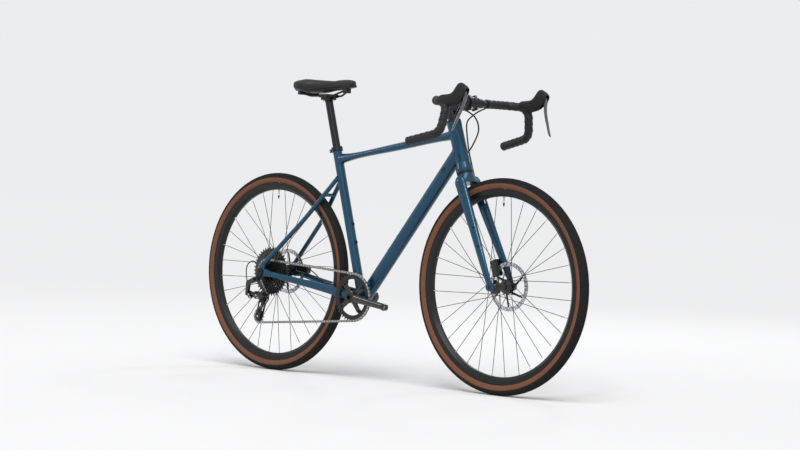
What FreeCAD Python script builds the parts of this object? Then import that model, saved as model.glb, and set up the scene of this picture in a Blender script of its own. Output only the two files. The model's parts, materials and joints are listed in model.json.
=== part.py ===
import FreeCAD, Part
import math
import os
import types
import Sketcher
from FreeCAD import Placement, Rotation, Vector

# A gravel bicycle with drop bars, one chainring, disc brakes and thru axles.
# Frame: origin on the ground midway between the wheels, +X forward, +Y to the rider's left, +Z up.

DRIVING_SIZES = {
    # wheels and frame angles
    "wheelbase": 1046.0, "wheel_radius": 351.0, "tyre_section": 20.0, "tyre_wall": 3.2,
    "rim_radius": 316.0, "rim_depth": 25.0, "rim_half_width": 13.2, "rim_wall": 2.0, "rim_spine": 5.0,
    "chainstay_length": 430.4, "bb_drop": 68.0, "seat_angle": 74.5, "head_angle": 71.7,
    "seat_tube_length": 531.0, "head_tube_length": 170.0, "fork_length": 395.0, "fork_rake": 46.5,
    # tubes
    "seat_tube_radius": 16.0, "tube_wall": 1.8, "down_tube_radius": 23.0, "down_tube_drop": 97.0,
    "down_tube_bb_offset": 12.0, "top_tube_drop": 41.0, "top_tube_seat_drop": 43.0,
    "top_tube_half_depth": 12.5, "top_tube_half_width": 16.0, "top_tube_head_half_depth": 18.5,
    "top_tube_flare": 8.0, "head_lower_radius": 28.0, "head_waist_radius": 24.0,
    "head_upper_radius": 24.0, "head_bore_radius": 20.5, "head_ring": 10.0,
    "shell_radius": 22.5, "shell_bore": 17.0, "shell_width": 68.0,
    "stay_half_width": 8.0, "seatstay_radius": 8.0, "seatstay_joint": 425.0, "bridge_radius": 6.0,
    "front_hub_width": 100.0, "rear_hub_width": 142.0, "axle_radius": 6.0, "running_gap": 0.05,
    "side_gap": 0.3, "dropout_thickness": 8.0, "dropout_eye": 15.0, "hanger_thickness": 5.0,
    # wheels' inner parts
    "spoke_count": 32, "spoke_radius": 1.0, "nipple_radius": 2.0, "nipple_length": 11.0, "flange_radius": 23.0,
    "flange_thickness": 3.0, "hub_barrel": 12.5, "cap_radius": 9.0, "cap_length": 4.7,
    "front_right_flange": 34.0, "front_left_flange": 22.0, "rear_right_flange": 20.0, "rear_left_flange": 34.0,
    "rotor_radius": 80.0, "rotor_band": 14.0, "rotor_thickness": 1.8, "rotor_seat": 16.0,
    "front_rotor_offset": 38.0, "rear_rotor_offset": 58.0, "vent_radius": 2.2, "vent_count": 36,
    # drive
    "chain_pitch": 12.7, "ring_teeth": 40, "mid_teeth": 21, "pulley_teeth": 11, "sprocket_gap": 3.74,
    "sprocket_thickness": 1.6, "ring_thickness": 2.0, "chain_line": 46.3, "roller_radius": 3.85,
    "link_wall": 0.75, "link_gap": 0.1, "link_half_height": 3.9, "freehub_radius": 17.0, "freehub_shaft": 8.9,
    "crank_length": 172.5, "crank_angle": -7.8, "spindle_radius": 12.0, "crank_boss_radius": 20.0,
    "crank_width": 30.0, "crank_end_width": 24.0, "crank_thickness": 15.0, "crank_end_thickness": 13.0,
    "crank_lean": 13.0, "pedal_hole_radius": 7.14, "cup_length": 10.5, "spider_radius": 55.0,
    # rear derailleur, from the rear axle
    "guide_back": 14.0, "guide_drop": 92.0, "cage_length": 72.0, "cage_lean": 20.5, "cage_wall": 1.8,
    "cage_half_gap": 5.9, "shift_slant": 54.3, "link_length": 38.0, "link_spacing": 12.0, "link_width": 10.0,
    "link_bar": 4.0, "link_eye": 4.0, "pivot_radius": 2.0, "links_back": 40.0, "links_drop": 84.0,
    "links_out": 86.0, "hanger_back": 8.0, "hanger_drop": 28.0, "ear_wall": 3.0,
    # front end
    "steerer_radius": 14.3, "steerer_base": 19.0, "headset_lower": 8.0, "headset_upper": 6.0,
    "cover_height": 6.0, "spacer_radius": 18.0, "spacer_height": 15.0, "stem_height": 40.0, "stem_length": 90.0,
    "stem_angle": -6.0, "stem_wall": 5.0, "stem_barrel": 17.0, "bar_clamp_radius": 15.9, "bar_clamp_width": 44.0,
    "bar_radius": 11.9, "bar_wall": 1.9, "bar_bulge_half": 45.0, "tape_thickness": 3.2, "tape_start": 75.0,
    "cap_height": 4.0, "crown_height": 33.0, "crown_half_width": 50.0, "blade_side": 37.0,
    # controls
    "hood_half_width": 17.0, "hood_side": 201.0, "lever_ahead": 140.0, "lever_rise": 12.0, "lever_width": 15.0,
    "lever_thickness": 6.5, "lever_pin": 2.5, "caliper_width": 22.0, "rotor_slot": 4.0, "hose_radius": 2.5,
    "housing_radius": 2.0,
    # seat
    "post_radius": 13.6, "post_wall": 2.2, "post_exposed": 175.0, "post_inserted": 115.0, "collar_wall": 4.0,
    "collar_height": 14.0, "rail_radius": 3.5, "saddle_length": 255.0, "saddle_half_width": 70.0,
    "saddle_height": 56.0, "saddle_setback": 127.0, "saddle_base_thickness": 5.0,
    # bottle bosses
    "boss_radius": 6.5, "boss_flange": 1.6, "boss_barrel": 4.5, "boss_depth": 11.0, "boss_bore": 2.5,
    "boss_spacing": 64.0, "seat_boss_height": 190.0, "down_boss_height": 205.0,
}
SPROCKETS = (11, 13, 15, 17, 19, 21, 24, 28, 32, 37, 42)


class Size:
    """A length that keeps its number and the sheet expression that drives it."""

    def __init__(self, value, text):
        self.value = float(value)
        self.text = text

    def __float__(self):
        return self.value

    def __add__(self, other):
        other = as_size(other)
        return Size(self.value + other.value, f"({self.text} + {other.text})")

    def __sub__(self, other):
        other = as_size(other)
        return Size(self.value - other.value, f"({self.text} - {other.text})")

    def __rsub__(self, other):
        return as_size(other) - self

    def __mul__(self, other):
        other = as_size(other)
        return Size(self.value * other.value, f"({self.text} * {other.text})")

    def __truediv__(self, other):
        other = as_size(other)
        return Size(self.value / other.value, f"({self.text} / {other.text})")

    def __neg__(self):
        return Size(-self.value, f"(0 - {self.text})")

    __radd__ = __add__
    __rmul__ = __mul__


def as_size(item):
    return item if isinstance(item, Size) else Size(item, repr(float(item)))


doc = FreeCAD.newDocument("gravel_bike")
sheet = doc.addObject("Spreadsheet::Sheet", "sizes")
for row, (alias, value) in enumerate(DRIVING_SIZES.items(), start=1):
    sheet.set(f"A{row}", alias)
    sheet.set(f"B{row}", str(value))
    sheet.setAlias(f"B{row}", alias)
doc.recompute()
d = types.SimpleNamespace(**{alias: Size(sheet.get(alias), f"sizes.{alias}") for alias in DRIVING_SIZES})
v = types.SimpleNamespace(**{alias: float(sheet.get(alias)) for alias in DRIVING_SIZES})
nodes = []


# Builders shared by the pieces


def keep(item, label):
    item.Label = label
    nodes.append(item)
    return item


def bind(item, **fields):
    for field, size in fields.items():
        setattr(item, field, float(size))
        item.setExpression(field, as_size(size).text)
    return item


def facing(base, direction):
    return Placement(base, Rotation(Vector(0, 0, 1), direction))


def polygon_sketch(body, plane_role, loops, name):
    """A sketch of closed straight-sided loops, every corner held by two bound distances from the origin."""
    plane = next(item for item in body.Origin.OriginFeatures if item.Role == plane_role)
    sketch = body.newObject("Sketcher::SketchObject", name)
    sketch.AttachmentSupport = [(plane, "")]
    sketch.MapMode = "FlatFace"
    for loop in loops:
        corners = [(as_size(across), as_size(along)) for across, along in loop]
        places = [Vector(float(across), float(along), 0) for across, along in corners]
        first = sketch.GeometryCount
        count = len(places)
        for index in range(count):
            sketch.addGeometry(Part.LineSegment(places[index], places[(index + 1) % count]), False)
        for index in range(count):
            after = first + (index + 1) % count
            sketch.addConstraint(Sketcher.Constraint("Coincident", first + index, 2, after, 1))
        for index, pair in enumerate(corners):
            for kind, size in zip(("DistanceX", "DistanceY"), pair):
                held = Sketcher.Constraint(kind, -1, 1, first + index, 1, float(size))
                number = sketch.addConstraint(held)
                sketch.setExpression(f"Constraints[{number}]", size.text)
    return sketch


def turned(label, loops, place):
    """A turned piece: loops of (radius, distance along the axis), spun about the local Z axis."""
    body = doc.addObject("PartDesign::Body", label)
    profile = polygon_sketch(body, "XZ_Plane", loops, label + "_profile")
    spin = body.newObject("PartDesign::Revolution", label + "_turn")
    spin.Profile = profile
    spin.ReferenceAxis = (profile, ["V_Axis"])
    spin.Angle = 360
    body.Placement = place
    return keep(body, label)


def cylinder(name, radius, height, place):
    item = doc.addObject("Part::Cylinder", name)
    bind(item, Radius=radius, Height=height)
    item.Placement = place
    return item


def cut(name, base, *tools):
    for number, tool in enumerate(tools):
        result = doc.addObject("Part::Cut", f"{name}_cut{number}")
        result.Base = base
        result.Tool = tool
        base = result
    return base


def solid_node(label, shape):
    item = doc.addObject("Part::Feature", label)
    item.Shape = shape
    return keep(item, label)


def rounded_path(points, radii):
    """Straight runs through the points, each inner corner turned by a tangent arc of its radius."""
    edges = []
    start = points[0]
    for index in range(1, len(points) - 1):
        corner = points[index]
        back = (points[index - 1] - corner).normalize()
        ahead = (points[index + 1] - corner).normalize()
        half = back.getAngle(ahead) / 2
        reach = radii[index - 1] / math.tan(half)
        begin = corner + back * reach
        end = corner + ahead * reach
        inward = (back + ahead).normalize()
        middle = corner + inward * (radii[index - 1] / math.sin(half) - radii[index - 1])
        edges.append(Part.LineSegment(start, begin).toShape())
        edges.append(Part.Arc(begin, middle, end).toShape())
        start = end
    edges.append(Part.LineSegment(start, points[-1]).toShape())
    return Part.Wire(edges)


def cord_radii(points):
    """The largest tangent arcs that the runs beside each corner allow."""
    radii = []
    for index in range(1, len(points) - 1):
        back = points[index - 1] - points[index]
        ahead = points[index + 1] - points[index]
        turn = math.pi - back.getAngle(ahead)
        radii.append(0.45 * min(back.Length, ahead.Length) / math.tan(turn / 2))
    return radii


def pipe(path, radius, bore=0.0):
    """A round cord or tube along a path: a cylinder for each straight run, a piece of a torus for each arc."""
    pieces = []
    for edge in path.OrderedEdges:
        start = edge.valueAt(edge.FirstParameter)
        heading = edge.tangentAt(edge.FirstParameter)
        disc = Part.Face(Part.Wire(Part.makeCircle(radius, start, heading)))
        if bore:
            disc = disc.cut(Part.Face(Part.Wire(Part.makeCircle(bore, start, heading)))).Faces[0]
        if edge.Curve.TypeId == "Part::GeomLine":
            pieces.append(disc.extrude(edge.valueAt(edge.LastParameter) - start))
        else:
            turn = math.degrees(edge.LastParameter - edge.FirstParameter)
            pieces.append(disc.revolve(edge.Curve.Center, edge.Curve.Axis, turn))
    if len(pieces) == 1:
        return pieces[0]
    return pieces[0].multiFuse(pieces[1:]).removeSplitter()


def tube(path, radius, wall):
    return pipe(path, radius, radius - wall)


def oval(centre, across, up, half_across, half_up):
    """An ellipse whose half axes lie along two given directions."""
    normal = across.cross(up)
    columns = FreeCAD.Matrix(
        across.x * half_across, up.x * half_up, normal.x, centre.x,
        across.y * half_across, up.y * half_up, normal.y, centre.y,
        across.z * half_across, up.z * half_up, normal.z, centre.z,
        0, 0, 0, 1)
    return Part.Wire(Part.makeCircle(1.0).transformGeometry(columns).Edges)


def facet_loft(sections, sides):
    """A loft over ovals drawn as many-sided rings, which keeps its faces plain."""
    rings = []
    for centre, across, up, half_across, half_up in sections:
        corners = []
        for number in range(sides):
            angle = 2 * math.pi * (number + 0.5) / sides
            corners.append(centre + across * (half_across * math.cos(angle)) + up * (half_up * math.sin(angle)))
        rings.append(Part.makePolygon(corners + corners[:1]))
    return Part.makeLoft(rings, True, True)


def oval_loft(sections):
    return Part.makeLoft([oval(*section) for section in sections], True, False)


def hollow_loft(sections, wall):
    inner = [(centre, across, up, a - wall, b - wall) for centre, across, up, a, b in sections]
    return oval_loft(sections).cut(oval_loft(inner))


def strap(centre_a, radius_a, centre_b, radius_b, low, high):
    """A flat plate in an X-Z plane: two round ends joined by their outer tangents, from Y low to Y high."""
    run = Vector(centre_b[0] - centre_a[0], 0, centre_b[1] - centre_a[1])
    heading = math.atan2(run.z, run.x)
    lean = math.acos((radius_a - radius_b) / run.Length)

    def rim_point(centre, radius, angle):
        return Vector(centre[0] + radius * math.cos(angle), low, centre[1] + radius * math.sin(angle))

    a_left = rim_point(centre_a, radius_a, heading + lean)
    a_back = rim_point(centre_a, radius_a, heading + math.pi)
    a_right = rim_point(centre_a, radius_a, heading - lean)
    b_right = rim_point(centre_b, radius_b, heading - lean)
    b_front = rim_point(centre_b, radius_b, heading)
    b_left = rim_point(centre_b, radius_b, heading + lean)
    outline = Part.Wire([
        Part.Arc(a_left, a_back, a_right).toShape(), Part.LineSegment(a_right, b_right).toShape(),
        Part.Arc(b_right, b_front, b_left).toShape(), Part.LineSegment(b_left, a_left).toShape()])
    return Part.Face(outline).extrude(Vector(0, high - low, 0))


def rod(radius, start, end):
    run = end - start
    return Part.makeCylinder(radius, run.Length, start, run)


def across_rod(radius, centre, low, high):
    return rod(radius, Vector(centre[0], low, centre[1]), Vector(centre[0], high, centre[1]))


def block(low, high):
    return Part.makeBox(high.x - low.x, high.y - low.y, high.z - low.z, low)


def mirrored(shape):
    return shape.mirror(Vector(0, 0, 0), Vector(0, 1, 0))


def both_sides(shape):
    return Part.makeCompound([shape, mirrored(shape)])


def pitch_radius(teeth):
    return v.chain_pitch / (2 * math.sin(math.pi / teeth))


def toothed_disc(teeth, thickness, bore, centre, phase, root_half=3.6, tip_half=0.8):
    """A sprocket in an X-Z plane, with one gap between teeth at the angle phase."""
    pitch = pitch_radius(teeth)
    root = pitch - v.roller_radius - 0.1
    tip = pitch + 3.3
    corners = []
    for number in range(teeth):
        middle = phase + (number + 0.5) * 2 * math.pi / teeth
        for radius, offset in ((root, -root_half), (tip, -tip_half), (tip, tip_half), (root, root_half)):
            angle = middle + offset / pitch
            corners.append(centre + Vector(radius * math.cos(angle), -thickness / 2,
                                           radius * math.sin(angle)))
    disc = Part.Face(Part.makePolygon(corners + corners[:1])).extrude(Vector(0, thickness, 0))
    hole = across_rod(bore, (centre.x, centre.z), centre.y - thickness, centre.y + thickness)
    return disc.cut(hole)


# Datum points and directions of the frame

rear_axle = Vector(-v.wheelbase / 2, 0, v.wheel_radius)
front_axle = Vector(v.wheelbase / 2, 0, v.wheel_radius)
stay_run = math.sqrt(v.chainstay_length ** 2 - v.bb_drop ** 2)
bracket = rear_axle + Vector(stay_run, 0, -v.bb_drop)
seat_slope = math.radians(v.seat_angle)
head_slope = math.radians(v.head_angle)
seat_up = Vector(-math.cos(seat_slope), 0, math.sin(seat_slope))
seat_forward = Vector(math.sin(seat_slope), 0, math.cos(seat_slope))
steer_up = Vector(-math.cos(head_slope), 0, math.sin(head_slope))
steer_forward = Vector(math.sin(head_slope), 0, math.cos(head_slope))
steer_foot = front_axle - steer_forward * v.fork_rake
left = Vector(0, 1, 0)
forward = Vector(1, 0, 0)
upward = Vector(0, 0, 1)
head_bottom = v.fork_length + v.headset_lower
head_top = head_bottom + v.head_tube_length


def on_steer(height, ahead=0.0, side=0.0):
    return steer_foot + steer_up * height + steer_forward * ahead + left * side


def on_seat(height, ahead=0.0, side=0.0):
    return bracket + seat_up * height + seat_forward * ahead + left * side


# Solid envelopes that the neighbouring tubes are mitred against

shell_envelope = rod(v.shell_radius, bracket - left * v.shell_width / 2, bracket + left * v.shell_width / 2)
seat_envelope = rod(v.seat_tube_radius, bracket, on_seat(v.seat_tube_length))
head_envelope = rod(v.head_waist_radius, on_steer(head_bottom), on_steer(head_top))


def make_frame_tubes():
    length = d.head_tube_length
    turned("head_tube", [[
        (d.head_bore_radius, 0), (d.head_lower_radius, 0), (d.head_lower_radius, d.head_ring),
        (d.head_waist_radius, d.head_ring * 3), (d.head_waist_radius, length - d.head_ring * 2),
        (d.head_upper_radius + 0.8, length - d.head_ring), (d.head_upper_radius + 0.8, length),
        (d.head_bore_radius, length)]], facing(on_steer(head_bottom), steer_up))

    shell = cylinder("shell_blank", d.shell_radius, d.shell_width,
                     facing(bracket - left * v.shell_width / 2, left))
    shell_hole = cylinder("shell_hole", d.shell_bore, d.shell_width, shell.Placement)
    keep(cut("shell", shell, shell_hole), "bottom_bracket_shell")

    seat_blank = cylinder("seat_blank", d.seat_tube_radius, d.seat_tube_length, facing(bracket, seat_up))
    seat_hole = cylinder("seat_hole", d.post_radius + d.running_gap, d.seat_tube_length,
                         facing(bracket, seat_up))
    seat_mitre = cylinder("seat_mitre", d.shell_radius, d.shell_width, shell.Placement)
    boss_tools = [cylinder(f"seat_boss_hole{number}", d.boss_barrel + d.running_gap, d.boss_depth * 2,
                           facing(place.Base - place.Rotation.multVec(upward) * v.boss_depth * 1.5,
                                  place.Rotation.multVec(upward)))
                  for number, place in enumerate(seat_boss_places())]
    keep(cut("seat_tube", seat_blank, seat_hole, seat_mitre, *boss_tools), "seat_tube")

    head_end = on_steer(head_top - v.top_tube_drop)
    seat_end = on_seat(v.seat_tube_length - v.top_tube_seat_drop)
    run = head_end - seat_end
    heading = Vector(run).normalize()
    rise = left.cross(heading) * -1
    depth = v.top_tube_half_depth
    width = v.top_tube_half_width
    flare_run = 55.0
    top_sections = [
        (seat_end, left, rise, v.seat_tube_radius - 1.2, depth + v.top_tube_flare),
        (seat_end + heading * flare_run, left, rise, width, depth + 0.8),
        (seat_end + run * 0.5, left, rise, width + 1, depth),
        (seat_end + run * 0.82, left, rise, width + 2, depth),
        (head_end, left, rise, width + 4, v.top_tube_head_half_depth)]
    solid_node("top_tube", hollow_loft(top_sections, v.tube_wall).cut(seat_envelope).cut(head_envelope))

    down_top, down_bottom = down_tube_line()
    line = Part.Wire([Part.LineSegment(down_bottom, down_top).toShape()])
    down = tube(line, v.down_tube_radius,
                v.tube_wall).cut(head_envelope).cut(shell_envelope).cut(seat_envelope)
    for place in down_boss_places():
        outward = place.Rotation.multVec(upward)
        down = down.cut(rod(v.boss_barrel + v.running_gap, place.Base - outward * v.boss_depth,
                            place.Base + outward * 5))
    solid_node("down_tube", down)


def down_tube_line():
    top = on_steer(head_top - v.down_tube_drop)
    run = bracket - top
    distance = run.Length
    swing = math.asin(v.down_tube_bb_offset / distance)
    angle = math.atan2(run.z, run.x) + swing
    heading = Vector(math.cos(angle), 0, math.sin(angle))
    return top, top + heading * distance


def seat_boss_places():
    """Where the two bottle bosses sit on the front of the seat tube, each facing forward."""
    turn = Rotation(upward, seat_forward)
    return [Placement(on_seat(v.seat_boss_height + step, v.seat_tube_radius), turn)
            for step in (0, v.boss_spacing)]


def down_boss_places():
    """Where the two bottle bosses sit on top of the down tube."""
    top, bottom = down_tube_line()
    heading = (top - bottom).normalize()
    outward = Vector(-heading.z, 0, heading.x)
    turn = Rotation(upward, outward)
    return [Placement(bottom + heading * (v.down_boss_height + step) + outward * v.down_tube_radius, turn)
            for step in (0, v.boss_spacing)]


def make_bottle_bosses():
    bosses = []
    envelope = seat_envelope.fuse(rod(v.down_tube_radius, *down_tube_line()))
    for place in seat_boss_places() + down_boss_places():
        outward = place.Rotation.multVec(upward)
        flange = rod(v.boss_radius, place.Base - outward * 3, place.Base + outward * v.boss_flange)
        barrel = rod(v.boss_barrel, place.Base - outward * (v.boss_depth - 1),
                     place.Base + outward * v.boss_flange)
        bore = rod(v.boss_bore, place.Base - outward * v.boss_depth, place.Base + outward * 5)
        bosses.append(flange.cut(envelope).fuse(barrel).cut(bore).removeSplitter())
    solid_node("bottle_bosses", Part.makeCompound(bosses))


def stay_point(share, side):
    """A point on the line from the bottom bracket to the rear axle, moved sideways."""
    return bracket + (rear_axle - bracket) * share + left * side


def dropout_plate():
    inner = v.rear_hub_width / 2
    outer = inner + v.dropout_thickness
    axle = (rear_axle.x, rear_axle.z)
    stay_end = (rear_axle.x + 44, rear_axle.z - 7)
    upper_end = (rear_axle.x + 13, rear_axle.z + 27)
    plate = strap(axle, v.dropout_eye, stay_end, 10, inner, outer)
    plate = plate.fuse(strap(axle, v.dropout_eye, upper_end, 9, inner, outer))
    return plate.cut(across_rod(v.axle_radius + v.running_gap, axle, inner - 1, outer + 1)).removeSplitter()


def make_rear_triangle():
    outer = v.rear_hub_width / 2 + v.dropout_thickness / 2
    width = v.stay_half_width
    stations = ((0.02, 22.0, width + 2, 17.0), (0.17, 34.5, width, 16.0), (0.36, 40.0, width, 14.0),
                (0.65, 58.5, width, 11.5), (0.8, 69.0, width - 1, 10.5), (0.93, outer - 0.5, width - 2.5,
                        9.5))
    sections = [(stay_point(share, side), left, upward, across, deep) for share, side, across,
                deep in stations]
    plate = dropout_plate()
    cup_reach = left * (v.shell_width / 2 + v.cup_length)
    cup_envelope = rod(v.shell_radius, bracket - cup_reach, bracket + cup_reach)
    stay = hollow_loft(sections, v.tube_wall).cut(cup_envelope).cut(plate).cut(seat_envelope)
    stay = max(stay.Solids, key=lambda solid: solid.Volume)
    left_stay = stay.fuse(plate).removeSplitter()
    solid_node("left_chainstay", left_stay)
    solid_node("right_chainstay", mirrored(left_stay))

    top = on_seat(v.seatstay_joint, -8, 10)
    bend = rear_axle + Vector(182, 45, 192)
    foot = rear_axle + Vector(13, outer, 27)
    path = rounded_path([top, bend, foot], [600])
    upper = tube(path, v.seatstay_radius, v.tube_wall).cut(seat_envelope).cut(plate)
    upper = max(upper.Solids, key=lambda solid: solid.Volume)
    middle = top + (bend - top) * 0.42
    ridge = rod(v.bridge_radius, Vector(middle.x, -middle.y, middle.z), middle)
    ridge = ridge.cut(pipe(path, v.seatstay_radius)).cut(mirrored(pipe(path, v.seatstay_radius)))
    solid_node("seatstays", Part.makeCompound([upper, mirrored(upper), ridge]))

    low = -v.rear_hub_width / 2 - v.dropout_thickness - v.hanger_thickness
    axle = (rear_axle.x, rear_axle.z)
    eye = (rear_axle.x - v.hanger_back, rear_axle.z - v.hanger_drop)
    hanger = strap(axle, 11, eye, 9, low, low + v.hanger_thickness)
    hanger = hanger.cut(across_rod(v.axle_radius + v.running_gap, axle, low - 1,
                                   low + v.hanger_thickness + 1))
    solid_node("derailleur_hanger", hanger)


def make_seat_group():
    top = on_seat(v.seat_tube_length)
    collar_low = on_seat(v.seat_tube_length - v.collar_height)
    inner = v.seat_tube_radius + v.running_gap
    collar = rod(inner + v.collar_wall, collar_low, top)
    lug = block(Vector(-inner - v.collar_wall - 9, -9, 1.5), Vector(-inner, 9, v.collar_height - 1.5))
    slit = block(Vector(-inner - v.collar_wall - 12, -1.2, -1), Vector(-inner + 2, 1.2, v.collar_height + 1))
    turn = Placement(collar_low, Rotation(Vector(0, 1, 0), v.seat_angle - 90))
    lug.Placement = turn
    slit.Placement = turn
    ring_hole = rod(inner, on_seat(v.seat_tube_length - 2 * v.collar_height), on_seat(v.seat_tube_length + 5))
    solid_node("seat_clamp", collar.fuse(lug).cut(ring_hole).cut(slit).removeSplitter())

    post_place = facing(on_seat(v.seat_tube_length - v.post_inserted), seat_up)
    post = cylinder("post_blank", d.post_radius, d.post_exposed + d.post_inserted, post_place)
    post_hole = cylinder("post_hole", d.post_radius - d.post_wall, d.post_exposed + d.post_inserted - 12,
                         post_place)
    keep(cut("seatpost", post, post_hole), "seatpost")

    head = on_seat(v.seat_tube_length + v.post_exposed)
    cradle_low = head - upward * 4
    cradle = block(cradle_low + Vector(-21, -17, 0), cradle_low + Vector(21, 17, 9))
    rail_height = head.z + 10
    jaw = block(Vector(head.x - 20, -28, rail_height - 6), Vector(head.x + 20, 28, rail_height + 6))
    neck = rod(15, on_seat(v.seat_tube_length + v.post_exposed - 9), head + upward * 4)
    clamp = cradle.fuse(jaw).fuse(neck)
    for side in (-22, 22):
        clamp = clamp.cut(rod(v.rail_radius + v.running_gap, Vector(head.x - 60, side, rail_height),
                              Vector(head.x + 60, side, rail_height)))
    clamp = clamp.cut(rod(v.post_radius + v.running_gap, on_seat(v.seat_tube_length), head))
    solid_node("saddle_clamp", clamp.removeSplitter())

    rear = head.x - v.saddle_setback
    nose = rear + v.saddle_length
    rails = []
    for side in (-1, 1):
        points = [Vector(rear + 26, side * 40, rail_height + 11), Vector(rear + 62, side * 22, rail_height),
                  Vector(nose - 88, side * 22, rail_height), Vector(nose - 40, side * 9, rail_height + 18)]
        rails.append(pipe(rounded_path(points, [26, 34]), v.rail_radius))
    top_z = rail_height + v.saddle_height
    make_saddle(rear, nose, rail_height, top_z, rails)


def saddle_ring(station, half_width, low, high, crown, tuck):
    """One cross-section of the pad: a crowned top, rounded shoulders and drawn-in lower edges."""
    foot = half_width - tuck
    shoulder = low + (high - low) * 0.55
    corners = [Vector(station, -foot, low), Vector(station, -half_width, shoulder),
               Vector(station, -half_width * 0.72, high - crown * 0.35), Vector(station, 0, high),
               Vector(station, half_width * 0.72, high - crown * 0.35), Vector(station, half_width, shoulder),
               Vector(station, foot, low)]
    over = Part.BSplineCurve()
    over.interpolate(corners)
    return Part.Wire([over.toShape(), Part.LineSegment(corners[-1], corners[0]).toShape()])


def make_saddle(rear, nose, rail_height, top_z, rails):
    length = nose - rear
    half = v.saddle_half_width
    # share of the length, half width, underside and top heights below the highest point, crown
    stations = ((0.0, 0.72 * half, -28, -6, 6), (0.06, 0.94 * half, -34, 0, 9), (0.2, half, -37, -1, 12),
                (0.42, 0.62 * half, -35, -5, 9), (0.62, 0.36 * half, -30, -5, 7),
                (0.85, 0.28 * half, -26, -2, 6), (0.97, 0.2 * half, -23, -3, 5), (1.0, 0.13 * half, -20, -7,
                        4))
    pad_rings = []
    base_rings = []
    base = v.saddle_base_thickness
    for share, width, low, high, crown in stations:
        x = rear + share * length
        pad_rings.append(saddle_ring(x, width, top_z + low, top_z + high, crown, 0.12 * width))
        slim = 0.86 * width
        floor = top_z + low - v.running_gap
        corners = [Vector(x, -slim, floor), Vector(x, -slim * 0.9, floor - base),
                   Vector(x, slim * 0.9, floor - base),
                   Vector(x, slim, floor)]
        base_rings.append(Part.makePolygon(corners + corners[:1]))
    pad = Part.makeLoft(pad_rings, True, False)
    shell = Part.makeLoft(base_rings, True, True)
    floor_z = top_z - 37 - base
    lug_rear = block(Vector(rear + 20, -46, rail_height + 4), Vector(rear + 33, 46, floor_z + 2))
    lug_nose = block(Vector(nose - 47, -14, rail_height + 9), Vector(nose - 34, 14, top_z - 27 - base + 2))
    shell = shell.fuse(lug_rear).fuse(lug_nose).cut(pad)
    for rail in rails:
        shell = shell.cut(rail)
    shell = max(shell.Solids, key=lambda solid: solid.Volume)
    solid_node("saddle_base", shell.removeSplitter())
    solid_node("saddle_rails", Part.makeCompound(rails))
    solid_node("saddle_pad", pad)


def make_headset_and_fork():
    gap = d.running_gap
    rings = [rod(v.head_lower_radius - 0.5, on_steer(v.fork_length + v.side_gap), on_steer(head_bottom)),
             rod(v.head_upper_radius, on_steer(head_top), on_steer(head_top + v.headset_upper))]
    bores = [v.steerer_base + float(gap), v.steerer_radius + float(gap)]
    rings = [ring.cut(rod(bore, on_steer(v.fork_length - 20), on_steer(head_top + 40))) for ring,
             bore in zip(rings, bores)]
    solid_node("headset_bearings", Part.makeCompound(rings))

    steerer_top = head_top + v.headset_upper + v.cover_height + v.spacer_height + v.stem_height - 3
    taper = head_bottom + v.head_tube_length * 0.35
    steerer = rod(v.steerer_base, on_steer(v.fork_length - 2), on_steer(head_bottom + 12))
    cone = Part.makeCone(v.steerer_base, v.steerer_radius, taper - head_bottom - 12,
                         on_steer(head_bottom + 12), steer_up)
    upper = rod(v.steerer_radius, on_steer(taper), on_steer(steerer_top))
    steerer = steerer.fuse(cone).fuse(upper)
    core = rod(v.steerer_radius - 3, on_steer(v.fork_length - 30), on_steer(steerer_top + 5))
    race = v.fork_length
    foot = race - v.crown_height
    crown = oval_loft([
        (on_steer(race), steer_forward, left, 26, 26), (on_steer(race - v.crown_height * 0.45, 1),
                                                        steer_forward, left, 26, 35),
        (on_steer(foot, 3), steer_forward, left, 23, v.crown_half_width)])
    solid_node("fork_crown", crown.fuse(steerer).cut(core).removeSplitter())

    eye_in = v.front_hub_width / 2
    eye_out = eye_in + 12
    foot_side = (eye_in + eye_out) / 2
    side = v.blade_side

    def station(height, y, deep, wide):
        ahead = v.fork_rake * (1 - height / foot) + 3 * height / foot
        return (on_steer(height, ahead, y), steer_forward, left, deep, wide)

    blade = hollow_loft([
        station(foot, side, 21, 12.5), station(foot * 0.7, side + 5, 18.5, 11.5),
        station(foot * 0.35, side + 13, 14.5, 9), station(16, foot_side, 10.5, 5.9),
        station(2, foot_side, 9.5, 5.7)], v.tube_wall + 0.6)
    eye = across_rod(14, (front_axle.x, front_axle.z), eye_in, eye_out)
    blade = blade.cut(eye).fuse(eye).cut(crown)
    blade = max(blade.Solids, key=lambda solid: solid.Volume)
    blade = blade.cut(across_rod(v.axle_radius + v.running_gap, (front_axle.x, front_axle.z), eye_in - 1,
                                 eye_out + 1))
    blade = blade.removeSplitter()
    solid_node("fork_blades", both_sides(blade))
    return blade, crown


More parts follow.
